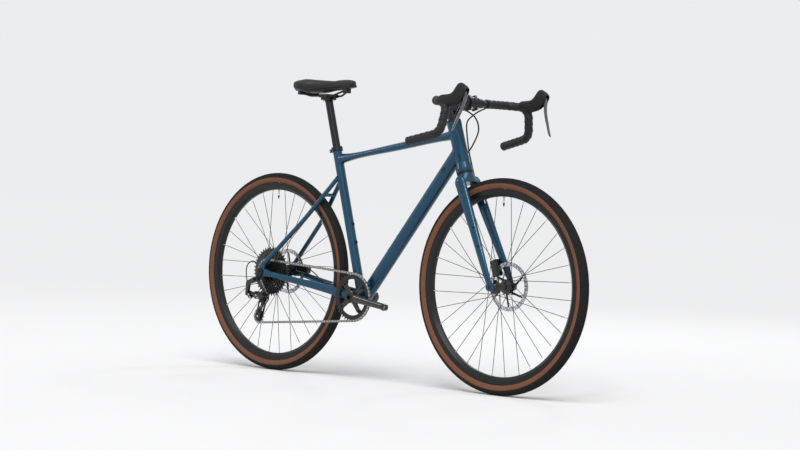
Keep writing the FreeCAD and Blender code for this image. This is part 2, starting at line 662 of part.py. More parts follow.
def make_stem_and_cap():
    low = head_top + v.headset_upper + v.side_gap
    cover_top = low + v.cover_height
    spacer_top = cover_top + v.spacer_height
    stem_top = spacer_top + v.stem_height
    hole = rod(v.steerer_radius + v.running_gap, on_steer(low - 5), on_steer(stem_top - 3))
    cover = Part.makeCone(v.head_upper_radius, v.spacer_radius, v.cover_height, on_steer(low), steer_up)
    spacers = [rod(v.spacer_radius, on_steer(cover_top + index * v.spacer_height / 2),
                   on_steer(cover_top + (index + 1) * v.spacer_height / 2 - v.running_gap)) for index in (0, 1)]
    cap = Part.makeCone(v.spacer_radius - 0.5, v.spacer_radius - 4, v.cap_height, on_steer(stem_top),
                        steer_up)
    rings = [cover.cut(hole)] + [spacer.cut(hole) for spacer in spacers] + [cap]
    solid_node("headset_spacers", Part.makeCompound(rings))

    root = on_steer(spacer_top + v.stem_height / 2)
    lean = math.pi / 2 - head_slope + math.radians(v.stem_angle)
    heading = Vector(math.cos(lean), 0, math.sin(lean))
    clamp = root + heading * v.stem_length
    half = v.bar_clamp_width / 2
    outer = v.bar_clamp_radius + v.stem_wall
    barrel = rod(v.stem_barrel, root, clamp)
    rear = rod(v.steerer_radius + v.stem_wall, on_steer(spacer_top), on_steer(stem_top))
    nose = across_rod(outer, (clamp.x, clamp.z), -half, half)
    body = barrel.fuse(rear).fuse(nose)
    body = body.cut(rod(v.steerer_radius + v.running_gap, on_steer(spacer_top - 5), on_steer(stem_top + 5)))
    body = body.cut(across_rod(v.bar_clamp_radius + v.running_gap, (clamp.x, clamp.z), -half - 1, half + 1))
    split = Part.makeBox(60, 120, 80, Vector(1.0, -60, -40))
    split.Placement = Placement(clamp, Rotation(forward, heading))
    front = Part.makeBox(60, 120, 80, Vector(1.6, -60, -40))
    front.Placement = Placement(clamp, Rotation(forward, heading))
    solid_node("stem", body.cut(split).removeSplitter())
    plate = nose.cut(across_rod(v.bar_clamp_radius + v.running_gap, (clamp.x, clamp.z), -half - 1, half + 1))
    solid_node("stem_faceplate", plate.common(front).removeSplitter())
    return clamp


def bar_points(clamp, side):
    """Corner points of half of the drop bar: tops, ramp, hook and drop, with some flare."""
    return [clamp, clamp + Vector(2, 197 * side, 0), clamp + Vector(75, 203 * side, -8),
            clamp + Vector(64, 222 * side, -106), clamp + Vector(-58, 238 * side, -134)]


BAR_RADII = (42, 34, 40)


def trimmed_path(path, skip):
    """The wire left after a length is taken off its first straight edge."""
    edges = path.OrderedEdges
    first = edges[0]
    start = first.valueAt(first.FirstParameter)
    heading = first.tangentAt(first.FirstParameter)
    lead = Part.LineSegment(start + heading * skip, first.valueAt(first.LastParameter)).toShape()
    return Part.Wire([lead] + edges[1:])


def make_handlebar(clamp):
    halves = [rounded_path(bar_points(clamp, side), BAR_RADII) for side in (1, -1)]
    outer = pipe(halves[0], v.bar_radius).fuse(pipe(halves[1], v.bar_radius))
    inner = pipe(halves[0], v.bar_radius - v.bar_wall).fuse(pipe(halves[1], v.bar_radius - v.bar_wall))
    across = (clamp.x, clamp.z)
    bulge = across_rod(v.bar_clamp_radius, across, -v.bar_bulge_half, v.bar_bulge_half)
    for side in (1, -1):
        cone = Part.makeCone(v.bar_clamp_radius, v.bar_radius, 22, clamp + left * v.bar_bulge_half * side,
                             left * side)
        bulge = bulge.fuse(cone)
    solid_node("handlebar", outer.fuse(bulge).cut(inner).removeSplitter())

    tapes = []
    for half in halves:
        wrapped = trimmed_path(half, v.tape_start)
        sleeve = pipe(wrapped, v.bar_radius + v.tape_thickness).cut(pipe(half, v.bar_radius + v.running_gap))
        tapes.append(sleeve)
    solid_node("bar_tape", Part.makeCompound(tapes))
    return pipe(trimmed_path(halves[0], v.tape_start), v.bar_radius + v.tape_thickness + v.running_gap)


def make_controls(clamp, tape_envelope):
    wide = v.hood_half_width
    # distance ahead of the clamp, middle height, half height and half width of the hood
    stations = ((48, -1, 17, wide - 1), (66, -3, 21, wide), (90, 4, 25, wide - 1), (112, 14, 28, wide - 2),
                (128, 21, 28, wide - 3), (141, 23, 22.5, wide - 3), (151, 25, 14.5, wide - 4), (158, 27, 6,
                        wide - 9))
    hood = facet_loft([(clamp + Vector(ahead, v.hood_side, rise), left, upward, across, deep)
                      for ahead, rise, deep, across in stations], 14)
    pivot = clamp + Vector(v.lever_ahead, v.hood_side, v.lever_rise)
    slot = v.lever_width / 2 + 0.6
    pocket = block(pivot + Vector(-11, -slot, -60), pivot + Vector(40, slot, 21))
    hood = max(hood.cut(tape_envelope).cut(pocket).Solids, key=lambda solid: solid.Volume)
    pin = across_rod(v.lever_pin, (pivot.x, pivot.z), pivot.y - wide + 5, pivot.y + wide - 5)
    solid_node("lever_hoods", both_sides(hood.fuse(pin).removeSplitter()))

    thick = v.lever_thickness / 2
    broad = v.lever_width / 2
    # the blade's middle from the pivot, half width and half thickness, from its top to its flared tip
    reach = ((Vector(9.5, 0, 13), broad - 1.5, thick - 0.6), (Vector(9, 0, 0), broad, thick + 1),
             (Vector(6.5, 2, -17), broad, thick + 0.8), (Vector(3.5, 7, -33), broad, thick),
             (Vector(1, 17, -58), broad - 0.5, thick), (Vector(-2, 30, -84), broad - 1.5, thick - 0.3),
             (Vector(-4, 40, -104), broad - 2.5, thick - 0.6), (Vector(-3, 45, -113), broad - 4, thick - 1.2))
    blade = oval_loft([(pivot + at, left, Vector(1, 0, 0.15).normalize(), across, deep) for at, across,
                       deep in reach])
    knuckle = strap((pivot.x, pivot.z), 6, (pivot.x + 8, pivot.z), 4.5, pivot.y - broad, pivot.y + broad)
    hole = across_rod(v.lever_pin + v.running_gap, (pivot.x, pivot.z), pivot.y - 30, pivot.y + 30)
    blade = blade.fuse(knuckle).cut(hole).removeSplitter()
    solid_node("left_brake_lever", blade)

    # the paddle hangs on a headed pin behind the right blade
    hand = clamp + Vector(v.lever_ahead, -v.hood_side, v.lever_rise)
    hinge = hand + Vector(-4.5, -9, -33)
    pin_out = rod(v.pivot_radius, hinge + forward * 7, hinge - forward * 3)
    pin_head = rod(v.pivot_radius + 1.6, hinge - forward * 3.2, hinge - forward * 2)
    solid_node("right_brake_lever", mirrored(blade).fuse(pin_out).fuse(pin_head).removeSplitter())
    plates = ((Vector(0, 0, 1), 5, 1.5), (Vector(-2.5, -5, -17), 8, 1.5), (Vector(-6, -14, -39), 8.5, 1.4),
              (Vector(-7.5, -19, -49), 5, 1.2))
    paddle = oval_loft([(hinge + at, left, forward, across, deep) for at, across, deep in plates])
    eye = rod(5.2, hinge - forward * 1.5, hinge + forward * 1.5)
    paddle = paddle.fuse(eye).cut(rod(v.pivot_radius + v.running_gap, hinge - forward * 9,
                                      hinge + forward * 9))
    paddle = paddle.cut(rod(v.pivot_radius + 2.2, hinge - forward * 9, hinge - forward * 1.5))
    solid_node("shift_paddle", max(paddle.Solids, key=lambda solid: solid.Volume).removeSplitter())


def make_wheel(prefix, axle, hub_profile, right_flange, left_flange, rotor_offset):
    section = d.tyre_section
    wheel_turn = facing(axle, left)
    ring = doc.addObject("Part::Torus", prefix + "_tyre_outer")
    bind(ring, Radius1=d.wheel_radius - section, Radius2=section)
    hollow = doc.addObject("Part::Torus", prefix + "_tyre_inner")
    bind(hollow, Radius1=d.wheel_radius - section, Radius2=section - d.tyre_wall)
    ring.Placement = wheel_turn
    hollow.Placement = wheel_turn
    drum_place = facing(axle - left * (v.tyre_section + 5), left)
    drum = cylinder(prefix + "_tyre_seat", d.rim_radius + d.running_gap, section * 2 + 10, drum_place)
    keep(cut(prefix + "_tyre", ring, hollow, drum), prefix + "_tyre")

    edge = d.rim_radius
    half = d.rim_half_width
    wall = d.rim_wall
    inside = edge - d.rim_depth
    spine = d.rim_spine
    turned(prefix + "_rim", [
        [(edge, half), (edge, half - wall), (edge - 7, half - wall), (edge - 9, spine), (edge - 9, -spine),
         (edge - 7, wall - half), (edge, wall - half), (edge, -half), (edge - 15, -half), (inside, -spine),
         (inside, spine), (edge - 15, half)],
        [(edge - 11, spine), (edge - 11, -spine), (edge - 14, wall - half), (inside + wall, -spine + 1),
         (inside + wall, spine - 1), (edge - 14, half - wall)]], wheel_turn)

    turned(prefix + "_hub", [hub_profile], wheel_turn)
    make_spokes(prefix, axle, -right_flange, left_flange)
    make_rotor(prefix, axle, rotor_offset)


def make_spokes(prefix, axle, right_y, left_y):
    count = int(v.spoke_count)
    per_side = count // 2
    crossing = 3 * 2 * math.pi / per_side
    rim_inner = v.rim_radius - v.rim_depth
    start_radius = v.flange_radius + v.spoke_radius + 0.15
    spokes = []
    for number in range(count):
        side_y = left_y if number % 2 else right_y
        lead = 1 if (number // 2) % 2 else -1
        rim_angle = (number + 0.5) * 2 * math.pi / count
        hub_angle = rim_angle - lead * crossing
        hub_y = side_y + lead * 1.25 * v.spoke_radius
        start = axle + Vector(start_radius * math.cos(hub_angle), hub_y, start_radius * math.sin(hub_angle))
        side_sign = 1 if side_y > 0 else -1
        end_radius = rim_inner - 0.4
        end = axle + Vector(end_radius * math.cos(rim_angle), side_sign * 2.0,
                            end_radius * math.sin(rim_angle))
        heading = (end - start).normalize()
        wire = rod(v.spoke_radius, start, end - heading)
        nipple = rod(v.nipple_radius, end - heading * v.nipple_length, end)
        spokes.append(wire.fuse(nipple).removeSplitter())
    solid_node(prefix + "_spokes", Part.makeCompound(spokes))


def make_rotor(prefix, axle, offset):
    low = offset - v.rotor_thickness / 2
    high = offset + v.rotor_thickness / 2
    centre = (axle.x, axle.z)
    inner = v.rotor_radius - v.rotor_band
    band = across_rod(v.rotor_radius, centre, low, high).cut(across_rod(inner, centre, low - 1, high + 1))
    carrier_radius = v.rotor_seat + 7
    carrier = across_rod(carrier_radius, centre, low, high)
    arms = 6
    for number in range(arms):
        angle = 2 * math.pi * number / arms
        sweep = angle + 0.55
        foot = (axle.x + (carrier_radius - 3) * math.cos(angle),
                axle.z + (carrier_radius - 3) * math.sin(angle))
        tip = (axle.x + (inner + 2) * math.cos(sweep), axle.z + (inner + 2) * math.sin(sweep))
        carrier = carrier.fuse(strap(foot, 4, tip, 2.6, low, high))
    disc = band.fuse(carrier).cut(across_rod(v.rotor_seat + v.running_gap, centre, low - 1, high + 1))
    vents = []
    for number in range(int(v.vent_count)):
        angle = 2 * math.pi * number / v.vent_count
        radius = inner + v.rotor_band * (0.3 + 0.2 * (number % 3))
        spot = (axle.x + radius * math.cos(angle), axle.z + radius * math.sin(angle))
        vents.append(across_rod(v.vent_radius, spot, low - 1, high + 1))
    solid_node(prefix + "_rotor", disc.cut(Part.makeCompound(vents)).removeSplitter())


def make_wheels():
    bore = d.axle_radius + d.running_gap
    flange = d.flange_radius
    leaf = d.flange_thickness / 2
    barrel = d.hub_barrel
    seat = d.rotor_seat
    front_end = d.front_hub_width / 2 - d.cap_length - d.side_gap
    right = -d.front_right_flange
    near = d.front_left_flange
    rotor = d.front_rotor_offset
    front_profile = [
        (bore, -front_end), (d.cap_radius, -front_end), (barrel, right - 5), (flange,
                right - leaf), (flange, right + leaf),
        (barrel, right + 8), (barrel, near - 8), (flange, near - leaf), (flange, near + leaf), (seat,
                near + 6),
        (seat, rotor + 2), (d.cap_radius, rotor + 4), (d.cap_radius, front_end), (bore, front_end)]
    make_wheel("front", front_axle, front_profile, v.front_right_flange, v.front_left_flange,
               v.front_rotor_offset)

    rear_end = d.rear_hub_width / 2 - d.cap_length - d.side_gap
    right = -d.rear_right_flange
    near = d.rear_left_flange
    rotor = d.rear_rotor_offset
    rear_profile = [
        (bore, -rear_end), (d.freehub_shaft, -rear_end), (d.freehub_shaft, right - 5.5), (barrel + 3,
                right - 5),
        (flange, right - leaf), (flange, right + leaf), (barrel, right + 9), (barrel, near - 8), (flange,
                near - leaf),
        (flange, near + leaf), (seat, near + 6), (seat, rotor + 2), (d.cap_radius,
                rotor + 4), (d.cap_radius, rear_end),
        (bore, rear_end)]
    make_wheel("rear", rear_axle, rear_profile, v.rear_right_flange, v.rear_left_flange, v.rear_rotor_offset)

    axle = d.axle_radius
    cap = d.cap_radius
    half = d.front_hub_width / 2
    reach = half + 12
    turned("front_axle", [[
        (0, -reach), (axle, -reach), (axle, -half), (cap, -half), (cap, d.cap_length - half), (axle,
                d.cap_length - half),
        (axle, half - d.cap_length), (cap, half - d.cap_length), (cap, half), (axle, half), (axle, reach),
        (cap, reach), (cap, reach + 4), (0, reach + 4)]], facing(front_axle, left))
    half = d.rear_hub_width / 2
    reach = half + d.dropout_thickness
    turned("rear_axle", [[
        (0, -reach - d.hanger_thickness), (axle, -reach - d.hanger_thickness), (axle, -half), (cap - 0.3,
                -half),
        (cap - 0.3, d.cap_length - half), (axle, d.cap_length - half), (axle, half - d.cap_length), (cap,
                half - d.cap_length),
        (cap, half), (axle, half), (axle, reach), (cap, reach), (cap, reach + 4), (0,
                reach + 4)]], facing(rear_axle, left))


def make_calipers(left_blade):
    slot = v.rotor_slot / 2
    half = v.caliper_width / 2

    def caliper(low, high, place, axle, offset):
        body = block(low, high)
        body = body.makeFillet(4.0, body.Edges)
        body.Placement = place
        centre = (axle.x, axle.z)
        groove = across_rod(v.rotor_radius + 3, centre, offset - slot, offset + slot)
        return body.cut(groove)

    offset = v.front_rotor_offset
    fork_turn = Placement(steer_foot, Rotation(upward, steer_up))
    front = caliper(Vector(-3, offset - half, 44), Vector(27, offset + half, 100), fork_turn, front_axle,
                    offset)
    envelope = max(left_blade.Solids, key=lambda solid: solid.Volume)
    front = max(front.cut(envelope).Solids, key=lambda solid: solid.Volume)
    solid_node("front_brake_caliper", front)

    offset = v.rear_rotor_offset
    stay_turn = Placement(rear_axle, Rotation(forward, (bracket - rear_axle).normalize()))
    rear = caliper(Vector(46, offset - half, 12.2), Vector(104, offset + half, 38), stay_turn, rear_axle,
                   offset)
    solid_node("rear_brake_caliper", rear)


def cage_centres(lean):
    guide = (rear_axle.x - v.guide_back, rear_axle.z - v.guide_drop)
    tension = (guide[0] - v.cage_length * math.sin(lean), guide[1] - v.cage_length * math.cos(lean))
    return guide, tension


def chain_runs(lean):
    """The chain's closed path as runs: straight ones and arcs, in the order that a link travels."""
    guide, tension = cage_centres(lean)
    # centre, teeth and sense: +1 where the chain turns clockwise as seen from the drive side
    wheels = [((rear_axle.x, rear_axle.z), int(v.mid_teeth), 1),
              ((bracket.x, bracket.z), int(v.ring_teeth), 1),
              (tension, int(v.pulley_teeth), 1), (guide, int(v.pulley_teeth), -1)]
    tangents = []
    for number, (centre, teeth, sense) in enumerate(wheels):
        after, after_teeth, after_sense = wheels[(number + 1) % len(wheels)]
        gap_x = after[0] - centre[0]
        gap_z = after[1] - centre[1]
        distance = math.hypot(gap_x, gap_z)
        heading = math.atan2(gap_z, gap_x)
        lift = sense * pitch_radius(teeth) - after_sense * pitch_radius(after_teeth)
        tilt = heading - math.asin(-lift / distance) * -1
        normal = tilt + math.pi / 2
        leave = (centre[0] + sense * pitch_radius(teeth) * math.cos(normal),
                 centre[1] + sense * pitch_radius(teeth) * math.sin(normal))
        arrive = (after[0] + after_sense * pitch_radius(after_teeth) * math.cos(normal),
                  after[1] + after_sense * pitch_radius(after_teeth) * math.sin(normal))
        tangents.append((leave, arrive, normal))
    runs = []
    for number, (centre, teeth, sense) in enumerate(wheels):
        entry = tangents[number - 1][2] + (0 if sense > 0 else math.pi)
        leave = tangents[number][2] + (0 if sense > 0 else math.pi)
        turn = (entry - leave) * sense % (2 * math.pi)
        runs.append(("arc", centre, teeth, sense, entry, turn * teeth / (2 * math.pi)))
        begin, end, _ = tangents[number]
        runs.append(("line", begin, end, math.dist(begin, end) / v.chain_pitch))
    return runs


def chain_count(lean):
    return sum(run[-1] for run in chain_runs(lean))


def settle_cage():
    """The cage's lean that takes up a whole, even number of links."""
    nominal = math.radians(v.cage_lean)
    links = 2 * round(chain_count(nominal) / 2)
    swing = math.radians(40)
    best = min((nominal + swing * step / 400 for step in range(-400, 401)),
               key=lambda lean: abs(chain_count(lean) - links) + 0.001 * abs(lean - nominal))
    low = best - swing / 200
    high = best + swing / 200
    rising = chain_count(high) > chain_count(low)
    for _ in range(60):
        middle = (low + high) / 2
        if (chain_count(middle) < links) == rising:
            low = middle
        else:
            high = middle
    return (low + high) / 2, links


def chain_pin(runs, link):
    """Where the pin with a given number lies, counted in links along the path."""
    for run in runs:
        if link <= run[-1]:
            if run[0] == "line":
                _, begin, end, span = run
                share = link / span
                return (begin[0] + (end[0] - begin[0]) * share, begin[1] + (end[1] - begin[1]) * share)
            _, centre, teeth, sense, entry, _ = run
            angle = entry - sense * link * 2 * math.pi / teeth
            return (centre[0] + pitch_radius(teeth) * math.cos(angle),
                    centre[1] + pitch_radius(teeth) * math.sin(angle))
        link -= run[-1]
    return chain_pin(runs, 0)


def wheel_phases(runs):
    """The angle of one pin on each toothed wheel, so that its gaps between teeth take the rollers."""
    phases = []
    passed = 0.0
    for run in runs:
        if run[0] == "arc":
            _, _, teeth, sense, entry, _ = run
            first = math.ceil(passed) - passed
            phases.append(entry - sense * first * 2 * math.pi / teeth)
        passed += run[-1]
    return phases


def link_plate(begin, end, half_height, low, high):
    """One side plate of a link: a long octagon round two pins."""
    run = Vector(end[0] - begin[0], 0, end[1] - begin[1])
    along = Vector(run).normalize()
    rise = Vector(-along.z, 0, along.x)
    first = Vector(begin[0], low, begin[1])
    last = Vector(end[0], low, end[1])
    bevel = half_height * 0.42
    corners = [first - along * half_height + rise * bevel, first - along * bevel + rise * half_height,
               last + along * bevel + rise * half_height, last + along * half_height + rise * bevel,
               last + along * half_height - rise * bevel, last + along * bevel - rise * half_height,
               first - along * bevel - rise * half_height, first - along * half_height - rise * bevel]
    return Part.Face(Part.makePolygon(corners + corners[:1])).extrude(Vector(0, high - low, 0))


def roller(centre, low, high):
    corners = []
    sides = 10
    for number in range(sides):
        angle = 2 * math.pi * number / sides
        corners.append(Vector(centre[0] + v.roller_radius * math.cos(angle), low,
                              centre[1] + v.roller_radius * math.sin(angle)))
    return Part.Face(Part.makePolygon(corners + corners[:1])).extrude(Vector(0, high - low, 0))


def make_chain(runs, links):
    inner_low = v.sprocket_thickness / 2 + v.link_gap * 3
    inner_high = inner_low + v.link_wall
    outer_low = inner_high + v.link_gap
    outer_high = outer_low + v.link_wall
    centre_y = -v.chain_line
    solids = []
    for number in range(links):
        begin = chain_pin(runs, number)
        end = chain_pin(runs, number + 1 if number + 1 < links else 0)
        if number % 2:
            solids += [link_plate(begin, end, v.link_half_height, centre_y + low, centre_y + high)
                       for low, high in ((outer_low, outer_high), (-outer_high, -outer_low))]
            continue
        plates = [link_plate(begin, end, v.link_half_height, centre_y + low, centre_y + high)
                  for low, high in ((inner_low, inner_high), (-inner_high, -inner_low))]
        rollers = [roller(spot, centre_y - inner_low, centre_y + inner_low) for spot in (begin, end)]
        solids.append(plates[0].multiFuse(plates[1:] + rollers))
    solid_node("chain", Part.makeCompound(solids))


def make_drive():
    lean, links = settle_cage()
    runs = chain_runs(lean)
    phases = wheel_phases(runs)
    make_chain(runs, links)
    print("chain links", links, "cage lean", round(math.degrees(lean), 2))

    flush = d.chain_line + d.sprocket_gap * SPROCKETS.index(int(v.mid_teeth))
    freehub_place = facing(rear_axle - left * float(flush + 1.5), left)
    length = flush + 1.5 - d.rear_right_flange - 6
    shell = cylinder("freehub_blank", d.freehub_radius, length, freehub_place)
    hole = cylinder("freehub_hole", d.freehub_shaft + d.running_gap, length, freehub_place)
    keep(cut("freehub", shell, hole), "freehub_body")
    bore = v.freehub_radius + v.running_gap
    discs = []
    for index, teeth in enumerate(SPROCKETS):
        y = -float(flush) + index * v.sprocket_gap
        phase = phases[0] if teeth == int(v.mid_teeth) else math.pi / 2
        disc = toothed_disc(teeth, v.sprocket_thickness, bore, Vector(rear_axle.x, y, rear_axle.z), phase)
        reach = pitch_radius(teeth) - bore
        if reach > 28:
            windows = []
            for number in range(6):
                angle = 2 * math.pi * number / 6
                spot = (bore + reach * 0.5)
                windows.append(across_rod(reach * 0.26, (rear_axle.x + spot * math.cos(angle),
                                                         rear_axle.z + spot * math.sin(angle)), y - 2, y + 2))
            disc = disc.cut(Part.makeCompound(windows))
        discs.append(disc)
        if index:
            spacer = across_rod(bore + 4, (rear_axle.x, rear_axle.z),
                                y - v.sprocket_gap + v.sprocket_thickness / 2,
                                y - v.sprocket_thickness / 2)
            discs.append(spacer.cut(across_rod(bore, (rear_axle.x, rear_axle.z), y - 5, y + 5)))
    cassette = discs[0].multiFuse(discs[1:])
    solid_node("cassette", cassette.removeSplitter())
    make_crankset(phases[1])
    make_derailleur(lean, phases[2], phases[3])


def make_crankset(ring_phase):
    ring_low = -v.chain_line - v.ring_thickness / 2
    ring_high = -v.chain_line + v.ring_thickness / 2
    arm_angle = math.radians(v.crank_angle)
    centre = (bracket.x, bracket.z)
    inner = v.spider_radius + 7
    ring = toothed_disc(int(v.ring_teeth), v.ring_thickness, inner,
                        Vector(bracket.x, -v.chain_line, bracket.z), ring_phase)
    spider_low = ring_low - 5
    spider_high = ring_low - v.running_gap
    tabs = []
    spider = []
    for number in range(4):
        angle = arm_angle + math.pi / 4 + number * math.pi / 2
        tip = (bracket.x + v.spider_radius * math.cos(angle), bracket.z + v.spider_radius * math.sin(angle))
        rim = (bracket.x + (inner + 4) * math.cos(angle), bracket.z + (inner + 4) * math.sin(angle))
        tabs.append(strap(tip, 7, rim, 9, ring_low, ring_high))
        root = (bracket.x + 14 * math.cos(angle), bracket.z + 14 * math.sin(angle))
        spider.append(strap(root, 9, tip, 7.5, spider_low, spider_high))
    solid_node("chainring", ring.multiFuse(tabs).removeSplitter())

    cup_face = v.shell_width / 2 + v.cup_length
    cups = []
    for sign in (-1, 1):
        flange = across_rod(v.shell_radius - 0.8, centre, min(sign * v.shell_width / 2, sign * cup_face),
                            max(sign * v.shell_width / 2, sign * cup_face))
        neck_end = sign * (v.shell_width / 2 - 13)
        neck = across_rod(v.shell_bore - v.running_gap, centre, min(neck_end, sign * cup_face),
                          max(neck_end, sign * cup_face))
        cups.append(flange.fuse(neck).cut(across_rod(v.spindle_radius + v.running_gap, centre, -80,
                                                     80)).removeSplitter())
    solid_node("bottom_bracket_cups", Part.makeCompound(cups))

    boss_in = cup_face + v.side_gap
    boss_out = boss_in + v.crank_thickness + 4
    spindle_end = boss_out - 2
    spindle = cylinder("spindle_blank", d.spindle_radius,
                       2 * (d.shell_width / 2 + d.cup_length + d.side_gap + d.crank_thickness + 2),
                       facing(bracket - left * spindle_end, left))
    spindle_hole = cylinder("spindle_hole", d.spindle_radius - 2.5, d.shell_width + 2 * d.cup_length,
                            facing(bracket - left * (v.shell_width / 2 + v.cup_length), left))
    keep(cut("spindle", spindle, spindle_hole), "crank_spindle")

    def crank(sign, angle):
        """An arm from the spindle boss to the pedal eye; sign is -1 on the right."""
        along = Vector(math.cos(angle), 0, math.sin(angle))
        rise = Vector(-along.z, 0, along.x)
        start_y = sign * (boss_out - v.crank_thickness / 2 - 1)
        end_y = start_y + sign * v.crank_lean

        def ring_at(share, width, thick):
            middle = bracket + along * (v.crank_length * share) + left * (start_y + (end_y - start_y) * share)
            return oval(middle, rise, left, width / 2, thick / 2)

        beam = Part.makeLoft([
            ring_at(0.0, v.crank_width, v.crank_thickness), ring_at(0.35, v.crank_width - 4,
                    v.crank_thickness),
            ring_at(0.75, v.crank_end_width - 1, v.crank_end_thickness), ring_at(1.0, v.crank_end_width - 2,
                    v.crank_end_thickness)],
            True, False)
        boss = across_rod(v.crank_boss_radius, centre, min(sign * boss_in, sign * boss_out),
                          max(sign * boss_in, sign * boss_out))
        eye_at = bracket + along * v.crank_length
        eye_y = (end_y - v.crank_end_thickness / 2, end_y + v.crank_end_thickness / 2)
        eye = across_rod(v.crank_end_width / 2, (eye_at.x, eye_at.z), *eye_y)
        arm = beam.fuse(boss).fuse(eye)
        if sign < 0:
            arm = arm.multiFuse(spider)
        hole_y = (min(eye_y) - 5, max(eye_y) + 5)
        arm = arm.cut(across_rod(v.pedal_hole_radius, (eye_at.x, eye_at.z), *hole_y))
        arm = arm.cut(across_rod(v.spindle_radius + v.running_gap, centre, -spindle_end - 0.2,
                                 spindle_end + 0.2))
        return arm.removeSplitter()

    solid_node("right_crank_arm", crank(-1, arm_angle))
    solid_node("left_crank_arm", crank(1, arm_angle + math.pi))


def make_derailleur(lean, tension_phase, guide_phase):
    guide, tension = cage_centres(lean)
    y = -v.chain_line
    gap = v.cage_half_gap
    pulley_bore = v.pivot_radius + 0.5 + v.running_gap
    for label, spot, phase in (("guide_pulley", guide, guide_phase),
                               ("tension_pulley", tension, tension_phase)):
        disc = toothed_disc(int(v.pulley_teeth), v.ring_thickness, pulley_bore, Vector(spot[0], y, spot[1]),
                            phase, 3.2, 0.7)
        hub = across_rod(8, spot, y - gap + v.side_gap, y + gap - v.side_gap)
        hub = hub.cut(across_rod(pulley_bore, spot, y - 10, y + 10))
        solid_node(label, disc.fuse(hub).removeSplitter())

    plates = []
    for low in (y - gap - v.cage_wall, y + gap):
        plate = strap(guide, 13, tension, 11, low, low + v.cage_wall)
        near = (guide[0] + (tension[0] - guide[0]) * 0.38, guide[1] + (tension[1] - guide[1]) * 0.38)
        far = (guide[0] + (tension[0] - guide[0]) * 0.66, guide[1] + (tension[1] - guide[1]) * 0.66)
        plate = plate.cut(strap(near, 6.5, far, 5.5, low - 1, low + v.cage_wall + 1))
        plates.append(plate)
    pins = [across_rod(pulley_bore - v.running_gap, spot, y - gap - 1, y + gap + 1)
            for spot in (guide, tension)]
    stub_end = y - gap - v.cage_wall - 5
    pins.append(across_rod(6, guide, stub_end, y - gap - 0.5))
    solid_node("derailleur_cage", plates[0].multiFuse(plates[1:] + pins).removeSplitter())

    slant = math.radians(v.shift_slant)
    shift = Vector(0, math.cos(slant), -math.sin(slant))
    axis = forward.cross(shift)
    root = rear_axle + Vector(-v.links_back, -v.links_out, -v.links_drop)
    end = root + forward * v.link_length
    reach = v.link_spacing / 2
    half = v.link_width / 2
    ear_in = half + v.side_gap
    ear_out = ear_in + v.ear_wall

    def slab(middle, back, ahead, across, low, high):
        """A box along X, the shift direction and the pivot direction."""
        shape = Part.makeBox(ahead - back, 2 * across, high - low, Vector(back, -across, low))
        shape.Placement = Placement(middle, Rotation(forward, shift, axis, "ZXY"))
        return shape

    for label, sign in (("outer_link", -1), ("inner_link", 1)):
        first = root + shift * (reach * sign)
        last = end + shift * (reach * sign)
        bar = slab(first, 0, v.link_length, v.link_bar / 2, -half, half)
        eyes = [rod(v.link_eye, spot - axis * half, spot + axis * half) for spot in (first, last)]
        link = bar.fuse(eyes[0]).fuse(eyes[1])
        link = link.cut(rod(v.pivot_radius + v.running_gap, first - axis * 20, first + axis * 20))
        link = link.cut(rod(v.pivot_radius + v.running_gap, last - axis * 20, last + axis * 20))
        solid_node(label, link.removeSplitter())

    wide = reach + v.link_eye + 1
    body = slab(root, -9, -v.link_eye - v.side_gap * 2, wide, -ear_out, ear_out)
    for low, high in ((ear_in, ear_out), (-ear_out, -ear_in)):
        body = body.fuse(slab(root, -9, v.link_eye + 1, wide, low, high))
    for sign in (-1, 1):
        spot = root + shift * (reach * sign)
        body = body.fuse(rod(v.pivot_radius, spot - axis * (ear_in + 1), spot + axis * (ear_in + 1)))
    mount = (rear_axle.x - v.hanger_back, rear_axle.z - v.hanger_drop)
    hanger_face = -v.rear_hub_width / 2 - v.dropout_thickness - v.hanger_thickness - v.running_gap
    boss = across_rod(10, mount, hanger_face - 14, hanger_face)
    elbow = (rear_axle.x - 46, rear_axle.z - 42)
    foot = (root.x - 11, root.z + 2)
    arm = strap(mount, 10, elbow, 8, hanger_face - 13, hanger_face - 3)
    arm = arm.fuse(strap(elbow, 8, foot, 5.5, hanger_face - 13, hanger_face - 3))
    body = body.fuse(boss).fuse(arm)
    solid_node("derailleur_bracket", body.removeSplitter())

    housing_in = stub_end + 4.6
    housing = across_rod(11, guide, housing_in - 10, housing_in)
    front_web = slab(end, v.link_eye + v.side_gap * 2 + 1, 12, wide, -ear_out, ear_out)
    knuckle = front_web
    for low, high in ((ear_in, ear_out), (-ear_out, -ear_in)):
        knuckle = knuckle.fuse(slab(end, -16, 12, wide, low, high))
    web_spot = (end.x + 8.5, end.z - 4)
    bridge = strap(guide, 10, web_spot, 5, housing_in - 10, housing_in)
    tie = rod(3.4, Vector(web_spot[0], end.y - 4, web_spot[1] + 2),
              Vector(web_spot[0], housing_in, web_spot[1]))
    knuckle = knuckle.fuse(housing).fuse(bridge).fuse(tie)
    knuckle = knuckle.cut(across_rod(6 + v.running_gap, guide, stub_end - 0.3, housing_in + 1))
    solid_node("derailleur_knuckle", knuckle.removeSplitter())


def cord(name, points, radius):
    radii = cord_radii(points)
    path = rounded_path(points, radii)
    shape = pipe(path, radius)
    ideal = math.pi * radius ** 2 * path.Length
    print(name, "length", round(path.Length), "radii", [round(item) for item in radii], "fill",
          round(shape.Volume / ideal, 3))
    return shape


